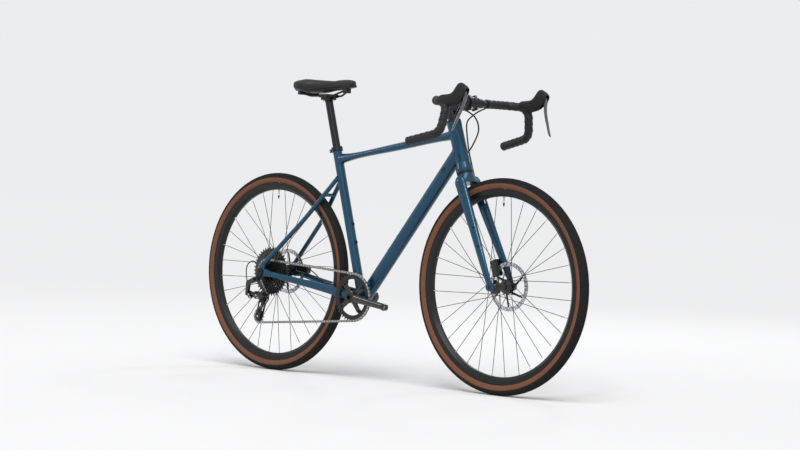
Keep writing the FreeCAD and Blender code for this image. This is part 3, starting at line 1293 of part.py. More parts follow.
def make_hoses(clamp, left_blade, crown):
    radius = v.hose_radius
    top, bottom = down_tube_line()
    heading = (bottom - top).normalize()
    side = v.down_tube_radius
    port = top + heading * 82
    under = clamp + Vector(-2, 0, -v.bar_radius - radius - 0.6)
    exit_y = v.tape_start - 3
    # from the right end of the tape, across the front of the head tube, to the left side of the down tube
    steps = (Vector(0, -exit_y, 0), Vector(19, 18 - exit_y, -9), Vector(31, 42 - exit_y, -22),
             Vector(37, 58 - exit_y, -37),
             Vector(33, 76 - exit_y, -60), Vector(23, 87 - exit_y, -82), Vector(3, 93 - exit_y,
                     -110), Vector(-22, 98 - exit_y, -140))
    cables = []
    for shift in (Vector(0, 0, 0), Vector(-5, 5.4, 0)):
        points = [under + step + shift for step in steps]
        slide = heading * (-shift.x)
        points += [port - heading * 48 + Vector(0, side + 11 + shift.y, 0) + slide,
                   port - heading * 14 + Vector(0, side + 6, 0) + slide,
                   port + heading * 16 + Vector(0, side + radius + 0.4, 0) + slide]
        cables.append(cord("control cable", points, radius))
    solid_node("control_cables", Part.makeCompound(cables))

    points = [under + Vector(0, exit_y, 0), under + Vector(-3, exit_y - 27, -9),
              under + Vector(-19, exit_y - 46, -28),
              on_steer(566, 30, 25), on_steer(522, 12, 36), on_steer(474, 3, 39), on_steer(428, 3, 39.5),
              on_steer(390, 3, 40), on_steer(364, 3, 41)]
    hose = cord("front brake hose", points, radius).cut(crown).cut(left_blade)
    solid_node("front_brake_hose", max(hose.Solids, key=lambda solid: solid.Volume))

    loop = []
    for number in range(6):
        angle = math.radians(25 + 35 * number)
        loop.append(rear_axle + Vector(28 * math.cos(angle) - 38, -76 - 2.4 * number,
                                       29 * math.sin(angle) + 7))
    loop += [rear_axle + Vector(-60, -90.5, -18), rear_axle + Vector(-53.92, -92.16, -36.8)]
    housing = cord("derailleur housing", loop, v.housing_radius)
    along = (bracket - rear_axle).normalize()
    rise = left.cross(along) * -1
    hose_line = ((164, 57.2, 6), (140, 58.6, 17), (120, 59.5, 24), (104.8, 60, 27))
    points = [rear_axle + along * run + left * out + rise * lift for run, out, lift in hose_line]
    rear_hose = cord("rear brake hose", points, v.housing_radius)
    return housing, rear_hose


make_frame_tubes()
make_bottle_bosses()
make_rear_triangle()
make_seat_group()
left_blade, crown_shape = make_headset_and_fork()
clamp_centre = make_stem_and_cap()
tape_shape = make_handlebar(clamp_centre)
make_controls(clamp_centre, tape_shape)
make_wheels()
make_calipers(left_blade)
make_drive()
rear_cords = make_hoses(clamp_centre, left_blade, crown_shape)
left_stay_shape = next(item for item in nodes if item.Label == "left_chainstay").Shape
rear_hose_shape = max(rear_cords[1].cut(left_stay_shape).Solids, key=lambda solid: solid.Volume)
solid_node("rear_cables", Part.makeCompound([rear_cords[0], rear_hose_shape]))

doc.recompute()
for item in doc.Objects:
    faults = [state for state in item.State if state in ("Invalid", "Error")]
    if faults:
        raise RuntimeError(f"{item.Label} failed: {faults}")
for node in nodes:
    if node.Shape.isNull() or not node.Shape.isValid():
        raise RuntimeError(f"{node.Label} has no valid shape")
os.makedirs("parts", exist_ok=True)
for node in nodes:
    node.Shape.exportStep(f"parts/{node.Label}.step")
print(len(nodes), "nodes written")
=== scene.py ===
import json
import math
import bmesh
import bpy
from mathutils import Matrix, Vector


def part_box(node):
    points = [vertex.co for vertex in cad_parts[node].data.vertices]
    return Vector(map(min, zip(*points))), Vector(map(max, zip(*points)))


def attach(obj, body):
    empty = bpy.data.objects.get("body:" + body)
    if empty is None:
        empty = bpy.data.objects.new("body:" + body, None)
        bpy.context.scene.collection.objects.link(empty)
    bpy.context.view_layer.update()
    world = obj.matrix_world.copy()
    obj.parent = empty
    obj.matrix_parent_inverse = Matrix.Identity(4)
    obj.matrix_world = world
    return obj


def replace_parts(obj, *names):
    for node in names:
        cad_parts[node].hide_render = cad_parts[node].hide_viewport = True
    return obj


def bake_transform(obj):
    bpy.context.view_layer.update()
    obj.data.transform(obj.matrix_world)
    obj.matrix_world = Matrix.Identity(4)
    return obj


# Dresses the packed gravel bike: paint, rubber, tape, leather, tyres and small fittings.

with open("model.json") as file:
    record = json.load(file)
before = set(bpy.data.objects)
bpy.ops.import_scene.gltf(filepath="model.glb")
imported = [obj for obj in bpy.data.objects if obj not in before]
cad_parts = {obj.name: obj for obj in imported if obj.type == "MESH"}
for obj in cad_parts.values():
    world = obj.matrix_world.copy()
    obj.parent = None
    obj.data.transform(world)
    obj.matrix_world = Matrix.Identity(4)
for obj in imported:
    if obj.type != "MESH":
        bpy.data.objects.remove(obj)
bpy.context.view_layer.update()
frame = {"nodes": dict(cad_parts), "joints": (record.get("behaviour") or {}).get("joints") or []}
nodes = frame["nodes"]
joints = {joint["name"]: joint for joint in frame["joints"]}

mm = 0.001
left = Vector((0, 1, 0))
forward = Vector((1, 0, 0))
upward = Vector((0, 0, 1))
rearAxle = Vector(joints["rear_wheel_spin"]["pos_m"])
wheelAxles = {"front": Vector(joints["front_wheel_spin"]["pos_m"]), "rear": rearAxle}
crankCentre = Vector(joints["crank_spin"]["pos_m"])
stayAhead = (crankCentre - rearAxle).normalized()
stayRise = stayAhead.cross(left)
steerFoot = Vector(joints["steering"]["pos_m"])
steerUp = Vector(joints["steering"]["axis"])
steerAhead = left.cross(steerUp)
seatUp = Vector(joints["seatpost_height"]["axis"])
seatAhead = left.cross(seatUp)
leverPivot = Vector(joints["left_brake"]["pos_m"])
leverFromClamp = Vector((140, 201, 12)) * mm
clampCentre = leverPivot - leverFromClamp
guideCentre = Vector(joints["guide_pulley_spin"]["pos_m"])
tensionCentre = Vector(joints["tension_pulley_spin"]["pos_m"])


# Shader maths


class Value:  # one socket of a node tree, with the operators that the finishes use
    def __init__(self, tree, socket):
        self.tree = tree
        self.socket = socket

    def join(self, operation, first, second):
        return self.tree.add("ShaderNodeMath", {"operation": operation}, {0: first, 1: second})

    def __radd__(self, other):
        return self.join("ADD", other, self)

    def __rsub__(self, other):
        return self.join("SUBTRACT", other, self)

    def __mul__(self, other):
        return self.join("MULTIPLY", self, other)

    def __rmul__(self, other):
        return self.join("MULTIPLY", other, self)

    def __lt__(self, other):
        return self.join("LESS_THAN", self, other)

    def __gt__(self, other):
        return self.join("GREATER_THAN", self, other)

    def most(self, other):
        return self.join("MAXIMUM", self, other)


class NodeTree:  # a tree of nodes, each added with its settings and what feeds its sockets
    def __init__(self, tree):
        self.tree = tree

    def add(self, kind, settings=None, sockets=None, out=0):
        node = self.tree.nodes.new(kind)
        for name, value in (settings or {}).items():
            setattr(node, name, value)
        for name, value in (sockets or {}).items():
            self.feed(node.inputs[name], value)
        return Value(self, node.outputs[out])

    def feed(self, socket, value):
        if isinstance(value, Value):
            self.tree.links.new(value.socket, socket)
        elif socket.type == "RGBA":
            socket.default_value = (*value[:3], 1)
        else:
            socket.default_value = value


class Finish(NodeTree):  # one material, its shader and the nodes that feed it
    def __init__(self, name, **plain):
        self.material = bpy.data.materials.new(name)
        self.material.use_nodes = True
        super().__init__(self.material.node_tree)
        self.shader = self.tree.nodes["Principled BSDF"]
        for socket, value in plain.items():
            self.drive(socket, value)

    def drive(self, name, value):
        words = {"baseColor": "Base Color", "coat": "Coat Weight", "coatRoughness": "Coat Roughness",
                 "sheen": "Sheen Weight", "sheenRoughness": "Sheen Roughness", "specular": "Specular IOR Level"}
        self.feed(self.shader.inputs[words.get(name, name.capitalize())], value)

    def spot(self):
        return self.add("ShaderNodeTexCoord", out=3)

    def noise(self, scale, detail=3, where=None):
        where = where or self.spot()
        return self.add("ShaderNodeTexNoise", None, {"Vector": where, "Scale": scale, "Detail": detail})

    def cells(self, scale, feature="F1", out=0):
        return self.add("ShaderNodeTexVoronoi", {"feature": feature}, {"Vector": self.spot(), "Scale": scale}, out)

    def span(self, value, low, high, start=0.0, end=1.0):
        sockets = {"Value": value, "From Min": low, "From Max": high, "To Min": start, "To Max": end}
        return self.add("ShaderNodeMapRange", {"clamp": True}, sockets)

    def blend(self, share, first, second):
        return self.add("ShaderNodeMix", {"data_type": "RGBA"}, {0: share, 6: first, 7: second}, 2)

    def colour(self, share, first, second):
        self.drive("baseColor", self.blend(share, first, second))

    def rough(self, value, least, most, low=0.3, high=0.7):
        self.drive("roughness", self.span(value, low, high, least, most))

    def bump(self, height, strength, distance):
        sockets = {"Height": height, "Strength": strength, "Distance": distance * mm}
        self.drive("normal", self.add("ShaderNodeBump", None, sockets))

    def radius(self, centre):
        away = self.add("ShaderNodeVectorMath", {"operation": "SUBTRACT"}, {0: self.spot(), 1: centre})
        flat = self.add("ShaderNodeVectorMath", {"operation": "MULTIPLY"}, {0: away, 1: (1, 0, 1)})
        return self.add("ShaderNodeVectorMath", {"operation": "LENGTH"}, {0: flat}, 1)

    def part(self, vector, axis):
        return self.add("ShaderNodeSeparateXYZ", None, {0: vector}, axis)


# Finishes


def gritty(name, colour, rough, spread=0.08, grain=900.0, depth=0.02, metal=0.0, **plain):
    grit = {"cloud": 60, "paleGain": 1.5, "paleLift": 0.004, "wearShare": 0.3, "bump": 0.25}
    finish = Finish(name, metallic=metal, **plain)
    pale = [min(1, part * grit["paleGain"] + grit["paleLift"]) for part in colour]
    finish.colour(finish.noise(grit["cloud"]), colour, pale)
    finish.rough(finish.noise(grain * grit["wearShare"]), rough - spread, rough + spread)
    finish.bump(finish.noise(grain), grit["bump"], depth)
    return finish


def framePaint():
    coat = {"deep": (0.003, 0.034, 0.070), "light": (0.008, 0.072, 0.134), "flakeScale": 2600, "rough": (0.28, 0.42),
            "peelScale": 260, "peel": 0.04, "peelDepth": 0.2}
    finish = Finish("teal_paint", metallic=0.5, specular=0.2, coat=0.45, coatRoughness=0.03)
    grey = finish.part(finish.cells(coat["flakeScale"], out=1), 0)
    finish.colour(grey, coat["deep"], coat["light"])
    finish.rough(grey, *coat["rough"], 0, 1)
    finish.bump(finish.noise(coat["peelScale"]), coat["peel"], coat["peelDepth"])
    return finish


def tyreRubber(name, axle):
    rubber = {"tan": (0.145, 0.057, 0.03), "tanPale": (0.195, 0.082, 0.046), "tanCloud": 90,
              "black": (0.008, 0.008, 0.0083), "dust": (0.016, 0.0155, 0.015), "dustCloud": 45, "bandTop": 0.3334,
              "bandLow": 0.3172, "wear": 300, "rough": (0.72, 0.92), "threads": 1500, "bump": 0.35, "depth": 0.06}
    finish = Finish(name, metallic=0.0, specular=0.25)
    radius = finish.radius(axle)
    tanMask = (radius < rubber["bandTop"]) * (radius > rubber["bandLow"])
    tan = finish.blend(finish.noise(rubber["tanCloud"]), rubber["tan"], rubber["tanPale"])
    black = finish.blend(finish.noise(rubber["dustCloud"]), rubber["black"], rubber["dust"])
    finish.colour(tanMask, black, tan)
    finish.rough(finish.noise(rubber["wear"]), *rubber["rough"])
    finish.bump(finish.noise(rubber["threads"]), rubber["bump"], rubber["depth"])
    return finish


def rotorSteel(name, axle):
    rotor = {"dark": (0.035, 0.035, 0.037), "grey": (0.42, 0.42, 0.43), "bright": (0.56, 0.56, 0.57),
             "ringScale": 5200, "ringDetail": 2, "low": 0.0655, "high": 0.080, "lowFade": 0.6, "highFade": 0.4,
             "rough": 0.5, "polish": 0.22, "ringRough": 0.12, "bump": 0.12, "depth": 0.03}
    finish = Finish(name, metallic=1.0)
    radius = finish.radius(axle)
    inner = finish.span(radius, rotor["low"], rotor["low"] + rotor["lowFade"] * mm)
    ground = inner * finish.span(radius, rotor["high"] + rotor["highFade"] * mm, rotor["high"])
    rings = finish.noise(1.0, rotor["ringDetail"], radius * rotor["ringScale"])
    finish.colour(ground, rotor["dark"], finish.blend(rings, rotor["grey"], rotor["bright"]))
    finish.drive("roughness", rotor["rough"] - ground * (rotor["polish"] - rotor["ringRough"] * rings))
    finish.bump(rings, rotor["bump"], rotor["depth"])
    return finish


def spokeBlack(name, axle):
    spoke = {"wire": (0.012, 0.012, 0.013), "nipple": (0.62, 0.62, 0.62), "nippleStart": 0.2789, "metal": 0.4,
             "nippleMetal": 0.6, "wear": 400, "rough": (0.24, 0.36)}
    finish = Finish(name)
    mask = finish.radius(axle) > spoke["nippleStart"]
    finish.colour(mask, spoke["wire"], spoke["nipple"])
    finish.drive("metallic", spoke["metal"] + mask * spoke["nippleMetal"])
    finish.rough(finish.noise(spoke["wear"]), *spoke["rough"])
    return finish


def chainSteel():
    link = {"clean": (0.27, 0.265, 0.26), "oily": (0.17, 0.167, 0.163), "oil": 900, "oilDetail": 4,
            "oilRange": (0.3, 0.75), "rough": (0.24, 0.42), "grain": 1800, "bump": 0.15, "depth": 0.02}
    finish = Finish("chain_steel", metallic=1.0)
    oil = finish.noise(link["oil"], link["oilDetail"])
    finish.colour(finish.span(oil, *link["oilRange"]), link["clean"], link["oily"])
    finish.rough(oil, *link["rough"], *link["oilRange"])
    finish.bump(finish.noise(link["grain"]), link["bump"], link["depth"])
    return finish


def sprocketSteel():
    cog = {"dark": (0.035, 0.035, 0.037), "worn": (0.11, 0.11, 0.112), "ringScale": 3800, "ringDetail": 2,
           "rough": (0.3, 0.46), "wornRange": (0.2, 0.8), "bump": 0.1, "depth": 0.03}
    finish = Finish("sprocket_steel", metallic=1.0)
    worn = finish.noise(1.0, cog["ringDetail"], finish.radius(rearAxle) * cog["ringScale"])
    finish.colour(worn, cog["dark"], cog["worn"])
    finish.rough(worn, *cog["rough"], *cog["wornRange"])
    finish.bump(worn, cog["bump"], cog["depth"])
    return finish


def softSkin(name, skin, **plain):
    finish = Finish(name, **plain)
    cloud = finish.noise(skin["cloud"])
    finish.colour(cloud, skin["dark"], skin["light"])
    finish.rough(cloud, *skin["rough"])
    grain = finish.cells(skin["grain"], skin["feature"])
    finish.bump(finish.span(grain, *skin["edge"]), skin["bump"], skin["depth"])
    return finish


foam = {"dark": (0.006, 0.006, 0.0065), "light": (0.014, 0.014, 0.015), "cloud": 120, "rough": (0.44, 0.6),
        "grain": 420, "feature": "F1", "edge": (0.1, 0.55), "bump": 0.6, "depth": 0.35}
hide = {"dark": (0.007, 0.007, 0.0075), "light": (0.014, 0.014, 0.015), "cloud": 70, "rough": (0.42, 0.6),
        "grain": 950, "feature": "DISTANCE_TO_EDGE", "edge": (0.0, 0.18), "bump": 0.35, "depth": 0.12}


def brushedMetal():
    brushed = {"dull": (0.528, 0.528, 0.536), "bright": (0.66, 0.66, 0.67), "cloud": 320, "rough": (0.18, 0.32),
               "grain": 2400, "bump": 0.12, "depth": 0.02}
    finish = Finish("bright_metal", metallic=1.0)
    cloud = finish.noise(brushed["cloud"])
    finish.colour(cloud, brushed["dull"], brushed["bright"])
    finish.rough(cloud, *brushed["rough"])
    finish.bump(finish.noise(brushed["grain"]), brushed["bump"], brushed["depth"])
    return finish


coal = (0.010, 0.010, 0.011)
paint = framePaint()
satin = gritty("satin_anodised", (0.009, 0.009, 0.0098), 0.36, metal=0.35, specular=0.35)
gloss = gritty("gloss_anodised", coal, 0.22, 0.05, 500, 0.01, 0.45, coat=0.4, coatRoughness=0.1)
mattMetal = gritty("matt_black_metal", (0.012, 0.012, 0.013), 0.46, metal=0.3, specular=0.35)
moulded = gritty("moulded_plastic", coal, 0.52, 0.07, 1300, 0.04, specular=0.3)
hoodRubber = gritty("hood_rubber", (0.007, 0.007, 0.0073), 0.6, 0.07, 1700, 0.05, specular=0.25)
hoseSkin = gritty("hose_skin", (0.008, 0.008, 0.009), 0.36, 0.05, 800, 0.01, coat=0.25, coatRoughness=0.2,
                  specular=0.3)
silver = brushedMetal()
leverDark = gritty("lever_finish", (0.075, 0.076, 0.08), 0.2, 0.04, 600, 0.01, 0.9, coat=0.8, coatRoughness=0.06)
rimBlack = gritty("rim_black", (0.006, 0.006, 0.0065), 0.32, 0.05, 700, 0.01, specular=0.25)
tape = softSkin("tape_foam", foam, sheen=0.05, sheenRoughness=0.5, specular=0.32)
leather = softSkin("saddle_leather", hide, sheen=0.04, sheenRoughness=0.4, specular=0.35)
tyreFinish = {end: tyreRubber(end + "_tyre_rubber", axle) for end, axle in wheelAxles.items()}

nodeFinishes = [
    (paint, "head_tube top_tube down_tube seat_tube bottom_bracket_shell right_chainstay left_chainstay seatstays "
            "fork_crown fork_blades"),
    (satin, "seat_clamp stem stem_faceplate headset_spacers handlebar seatpost saddle_clamp "
            "bottom_bracket_cups derailleur_hanger bottle_bosses headset_bearings"),
    (gloss, "front_hub rear_hub right_crank_arm left_crank_arm front_brake_caliper rear_brake_caliper outer_link "
            "inner_link derailleur_bracket derailleur_knuckle"),
    (mattMetal, "saddle_rails derailleur_cage chainring front_axle rear_axle crank_spindle freehub_body"),
    (leverDark, "left_brake_lever right_brake_lever shift_paddle"),
    (rimBlack, "front_rim rear_rim"), (moulded, "saddle_base guide_pulley tension_pulley"),
    (chainSteel(), "chain"), (sprocketSteel(), "cassette"), (hoodRubber, "lever_hoods"), (tape, "bar_tape"),
    (hoseSkin, "control_cables front_brake_hose rear_cables"), (leather, "saddle_pad"),
]
for end, axle in wheelAxles.items():
    nodeFinishes += [(rotorSteel(end + "_rotor_steel", axle), end + "_rotor"),
                     (spokeBlack(end + "_spoke_steel", axle), end + "_spokes"), (tyreFinish[end], end + "_tyre")]
for finish, names in nodeFinishes:
    for name in names.split():
        nodes[name].data.materials.clear()
        nodes[name].data.materials.append(finish.material)
bright = (silver, "bright_steel")
black = (satin, "black_alloy")
plastic = (moulded, "black_plastic")
print("finishes made:", len(bpy.data.materials))


# Shared builders


def addObject(name, data):
    thing = bpy.data.objects.new(name, data)
    bpy.context.scene.collection.objects.link(thing)
    return thing


def meshOf(name, bm):  # the bmesh as a mesh; the bmesh is freed
    mesh = bpy.data.meshes.new(name)
    bm.to_mesh(mesh)
    bm.free()
    return mesh


def takeIn(bm, mesh):  # adds a mesh to a bmesh and removes it
    bm.from_mesh(mesh)
    bpy.data.meshes.remove(mesh)


def evaluated(thing):  # the mesh of an object with its modifiers or bevel
    bpy.context.view_layer.update()
    return bpy.data.meshes.new_from_object(thing.evaluated_get(bpy.context.evaluated_depsgraph_get()))


def curveMesh(points, kind, curveSettings, splineSettings):
    data = bpy.data.curves.new("line", "CURVE")
    data.dimensions = "3D"
    for name, value in curveSettings.items():
        setattr(data, name, value)
    spline = data.splines.new(kind)
    spline.points.add(len(points) - 1)
    for point, spot in zip(spline.points, points):
        point.co = (*spot, 1)
    for name, value in splineSettings.items():
        setattr(spline, name, value)
    line = addObject("line", data)
    mesh = evaluated(line)
    bpy.data.objects.remove(line)
    return mesh


def addPiece(name, bm, body, finish, slot):
    mesh = meshOf(name, bm)
    for face in mesh.polygons:
        face.use_smooth = True
    piece = addObject(name, mesh)
    mesh.materials.append(finish.material)
    if body:
        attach(piece, body)
    return piece


def creaseSharp(piece, angle=35):
    with bpy.context.temp_override(object=piece, active_object=piece, selected_editable_objects=[piece]):
        bpy.ops.object.shade_smooth_by_angle(angle=math.radians(angle))


def turnTo(base, axis):
    return Matrix.Translation(base) @ axis.to_track_quat("Z", "Y").to_matrix().to_4x4()


def standOn(base, ahead, rise):  # a place whose X is ahead and whose Z is rise
    return Matrix.Translation(base) @ Matrix((ahead, rise.cross(ahead), rise)).transposed().to_4x4()


def scaling(size):
    return Matrix.Diagonal((*[part * mm for part in size], 1))


def onSteer(height, ahead=0.0, side=0.0):
    return steerFoot + steerUp * height * mm + steerAhead * ahead * mm + left * side * mm


def onStay(run, out, lift):
    return rearAxle + (stayAhead * run + left * out + stayRise * lift) * mm


def spinRound(bm, line, edges, centre, axis, steps):
    bmesh.ops.spin(bm, geom=line + edges, cent=centre, axis=axis, dvec=(0, 0, 0), angle=2 * math.pi, steps=steps,
                   use_merge=True)


def turnedRing(bm, base, axis, profile, steps):  # profile of (radius, height) turned about an axis
    place = turnTo(base, axis)
    line = [bm.verts.new(place @ Vector((radius, 0, height))) for radius, height in profile]
    spinRound(bm, line, [bm.edges.new(pair) for pair in zip(line, line[1:])], base, axis, steps)


def turnOut(bm):
    bmesh.ops.recalc_face_normals(bm, faces=bm.faces)


def merge(bm, reach):
    bmesh.ops.remove_doubles(bm, verts=bm.verts, dist=reach * mm)


def closeUp(bm):
    merge(bm, 0.01)
    turnOut(bm)


def seal(bm, reach):  # closes a tube's seam and both ends
    merge(bm, reach)
    bmesh.ops.holes_fill(bm, edges=[edge for edge in bm.edges if edge.is_boundary], sides=0)
    turnOut(bm)


def extruded(bm, edges):  # grows edges and gives the new vertices
    grown = bmesh.ops.extrude_edge_only(bm, edges=edges)["geom"]
    return [item for item in grown if isinstance(item, bmesh.types.BMVert)]


boltForm = {"edge": 0.16, "soften": 0.3, "key": 0.55, "keyRim": 1.12, "keyDepth": 0.6, "steps": 18, "merge": 1e-7,
            "level": 1e-6}


def capBolt(bm, base, axis, radius, height):  # a socket-head bolt standing on base
    edge = radius * boltForm["edge"]
    soft = edge * boltForm["soften"]
    key = radius * boltForm["key"]
    profile = [(radius, 0), (radius, height - edge), (radius - soft, height - soft), (radius - edge, height),
               (key * boltForm["keyRim"], height)]
    before = set(bm.verts)
    turnedRing(bm, base, axis, profile, boltForm["steps"])
    bmesh.ops.remove_doubles(bm, verts=[vert for vert in bm.verts if vert not in before], dist=boltForm["merge"])
    place = turnTo(base + axis * height, axis)
    socket = bmesh.ops.create_circle(bm, cap_ends=False, segments=6, radius=key, matrix=place)["verts"]
    keyEdges = {line for vert in socket for line in vert.link_edges}
    rimEdges = [line for line in bm.edges if line.is_boundary and not set(line.verts) & before
                and all(abs((vert.co - base).dot(axis) - height) < boltForm["level"] for vert in line.verts)
                and line not in keyEdges]
    bmesh.ops.bridge_loops(bm, edges=rimEdges + list(keyEdges))
    low = extruded(bm, list(keyEdges))
    bmesh.ops.translate(bm, verts=low, vec=axis * (-height * boltForm["keyDepth"]))
    bmesh.ops.contextual_create(bm, geom=low)


def boltPiece(name, body, finish, slot, places):  # rows of base, axis, radius and height, the last two in mm
    bm = bmesh.new()
    for base, axis, radius, height in places:
        capBolt(bm, base, axis.normalized(), radius * mm, height * mm)
    turnOut(bm)
    creaseSharp(addPiece(name, bm, body, finish, slot))


def ringPiece(name, body, finish, slot, rings, steps=40, closed=True):  # rows of base, axis and profile in mm
    bm = bmesh.new()
    for base, axis, profile in rings:
        line = [(radius * mm, height * mm) for radius, height in profile]
        turnedRing(bm, base, axis.normalized(), line + line[:1] if closed else line, steps)
    closeUp(bm)
    creaseSharp(addPiece(name, bm, body, finish, slot))


def blockPiece(name, body, finish, slot, blocks):  # boxes with rounded edges: rows of place, size and edge in mm
    bm = bmesh.new()
    for place, size, edge in blocks:
        made = bmesh.ops.create_cube(bm, size=1.0, matrix=place @ scaling(size))["verts"]
        lines = list({line for vert in made for line in vert.link_edges})
        bmesh.ops.bevel(bm, geom=made + lines, offset=edge * mm, offset_type="OFFSET", affect="EDGES", segments=3,
                        profile=0.5, material=-1)
    turnOut(bm)
    creaseSharp(addPiece(name, bm, body, finish, slot), 40)


def bentLine(corners, radii, step):  # points along straight runs joined by tangent arcs
    runs = []
    start = corners[0]
    for corner, after, radius in zip(corners[1:], corners[2:], radii):
        inward = (corner - start).normalized()
        onward = (after - corner).normalized()
        turn = inward.angle(onward)
        begin = corner - inward * (radius * math.tan(turn / 2))
        runs.append((start, begin))
        side = (onward - inward * onward.dot(inward)).normalized()
        hub = begin + side * radius
        count = max(3, int(radius * turn / step))
        arc = [hub - side * radius * math.cos(turn * k / count) + inward * radius * math.sin(turn * k / count)
               for k in range(count + 1)]
        runs.append(arc)
        start = arc[-1]
    runs.append((start, corners[-1]))
    points = []
    for run in runs:
        if len(run) == 2:
            count = max(1, int((run[1] - run[0]).length / step))
            run = [run[0].lerp(run[1], k / count) for k in range(count + 1)]
        points += run if not points else run[1:]
    return points


def rowGrid(bm, rows, sides):  # the vertices of a grid, row by row
    made = bmesh.ops.create_grid(bm, x_segments=rows - 1, y_segments=sides, size=1.0)["verts"]
    made.sort(key=lambda vert: (round(vert.co.x, 6), round(vert.co.y, 6)))
    return made


def tubeGrid(bm, points, sides, radiusAt, sideways):  # a grid bent round a line of points
    made = rowGrid(bm, len(points), sides)
    run = 0.0
    for ring, point in enumerate(points):
        after = points[min(ring + 1, len(points) - 1)]
        before = points[max(ring - 1, 0)]
        heading = (after - before).normalized()
        across = (sideways - heading * sideways.dot(heading)).normalized()
        upright = heading.cross(across)
        run += (point - before).length
        for side in range(sides + 1):
            angle = 2 * math.pi * side / sides
            reach = radiusAt(run, angle)
            spot = across * (reach * math.cos(angle)) + upright * (reach * math.sin(angle))
            made[ring * (sides + 1) + side].co = point + spot


def smoothTable(table, perStep):  # a Catmull-Rom line through rows of numbers
    rows = []
    last = len(table) - 1
    for k in range(last):
        around = [table[max(0, min(last, k + shift))] for shift in (-1, 0, 1, 2)]
        for part in range(perStep):
            t = part / perStep
            rows.append([0.5 * (2 * b + (c - a) * t + (2 * a - 5 * b + 4 * c - d) * t * t
                                + (3 * b - a - 3 * c + d) * t ** 3) for a, b, c, d in zip(*around)])
    rows.append(list(table[last]))
    return rows


def signedPower(value, power):
    return math.copysign(abs(value) ** power, value)


# Camera, light and floor

view = {"place": (4.786, -5.091, 0.647), "yaw": 42.81, "pitch": 0.92, "roll": 1.73, "lens": 92.66, "sensor": 36.0,
        "clipEnd": 100}


def makeCamera():
    yaw, pitch, roll = (math.radians(view[key]) for key in ("yaw", "pitch", "roll"))
    ahead = Vector((-math.sin(yaw) * math.cos(pitch), math.cos(yaw) * math.cos(pitch), -math.sin(pitch)))
    across = Vector((math.cos(yaw), math.sin(yaw), 0))
    rise = across.cross(ahead)
    right = across * math.cos(roll) + rise * math.sin(roll)
    top = rise * math.cos(roll) - across * math.sin(roll)
    data = bpy.data.cameras.new("photo_camera")
    data.lens = view["lens"]
    data.sensor_width = view["sensor"]
    data.sensor_fit = "HORIZONTAL"
    data.clip_end = view["clipEnd"]
    camera = addObject("photo_camera", data)
    turn = Matrix((right, top, -ahead)).transposed().to_4x4()
    camera.matrix_world = Matrix.Translation(view["place"]) @ turn
    bpy.context.scene.camera = camera


studio = {"floor": (0.85, 0.85, 0.855), "floorPale": (0.8585, 0.8585, 0.86355), "floorCloud": 1.5, "floorSize": 60,
          "sky": (0.84, 0.845, 0.855), "ambient": 0.46, "sun": 2.25, "sunAngle": 48, "sunFrom": (1.8, -2.2, 5.0),
          "aim": (0, 0, 0.5), "lamps": [("key", (2.6, -3.4, 3.2), 0.5, 20), ("fill", (-3.4, -2.6, 2.0), 0.6, 12),
                                        ("rim", (-1.2, 3.4, 3.0), 0.5, 16)]}


def addLamp(name, kind, place, power):
    data = bpy.data.lights.new(name + "_lamp", kind)
    data.energy = power
    aim = Vector(studio["aim"]) - Vector(place)
    turn = aim.to_track_quat("-Z", "Y").to_matrix().to_4x4()
    addObject(name + "_lamp", data).matrix_world = Matrix.Translation(place) @ turn
    return data


def makeStudio():
    bm = bmesh.new()
    bmesh.ops.create_grid(bm, x_segments=2, y_segments=2, size=studio["floorSize"])
    floor = addObject("floor", meshOf("floor", bm))
    finish = Finish("floor_paint", roughness=0.9, specular=0.0)
    finish.colour(finish.noise(studio["floorCloud"]), studio["floor"], studio["floorPale"])
    floor.data.materials.append(finish.material)
    addLamp("sun", "SUN", studio["sunFrom"], studio["sun"]).angle = math.radians(studio["sunAngle"])
    for name, place, size, power in studio["lamps"]:
        addLamp(name, "AREA", place, power).size = size
    world = bpy.data.worlds.new("studio")
    bpy.context.scene.world = world
    world.use_nodes = True
    sky = NodeTree(world.node_tree)
    seen, glossy, through = (sky.add("ShaderNodeLightPath", out=f"Is {ray} Ray")
                             for ray in ("Camera", "Glossy", "Transmission"))
    shown = seen.most(glossy).most(through)
    level = sky.add("ShaderNodeMapRange", None, {"Value": shown, "To Min": studio["ambient"], "To Max": 1.0})
    back = world.node_tree.nodes["Background"]
    sky.feed(back.inputs["Color"], studio["sky"])
    sky.feed(back.inputs["Strength"], level)
    bpy.context.scene.view_settings.view_transform = "Standard"


makeCamera()
makeStudio()
print("camera and studio set")


# Tyres with their tread blocks

tyre = {"centreLine": 331.0, "casing": 19.75, "treadFloor": 19.0, "beadRadius": 316.4, "beadHalf": 10.5,
        "beadLift": 1.2, "treadEdge": 80.0, "treadFade": 6.0, "bandLine": 0.18, "bandAngle": 112.0, "bandWidth": 0.05,
        "steps": 144, "profilePoints": 44, "outside": 351.0, "rowStep": 9.6, "rows": 8, "knobAround": 6.6,
        "knobSize": (4.1, 2.5, 1.15), "knobSunk": 0.1, "taper": 0.72, "level": 1e-6, "crease": 30}


def tyreSection(angle):
    edge = math.radians(tyre["treadEdge"])
    share = max(0.0, min(1.0, (abs(angle) - edge) / math.radians(tyre["treadFade"])))
    section = tyre["treadFloor"] + (tyre["casing"] - tyre["treadFloor"]) * share
    fromBand = (abs(angle) - math.radians(tyre["bandAngle"])) / tyre["bandWidth"]
    return (section + tyre["bandLine"] * math.exp(-fromBand ** 2)) * mm


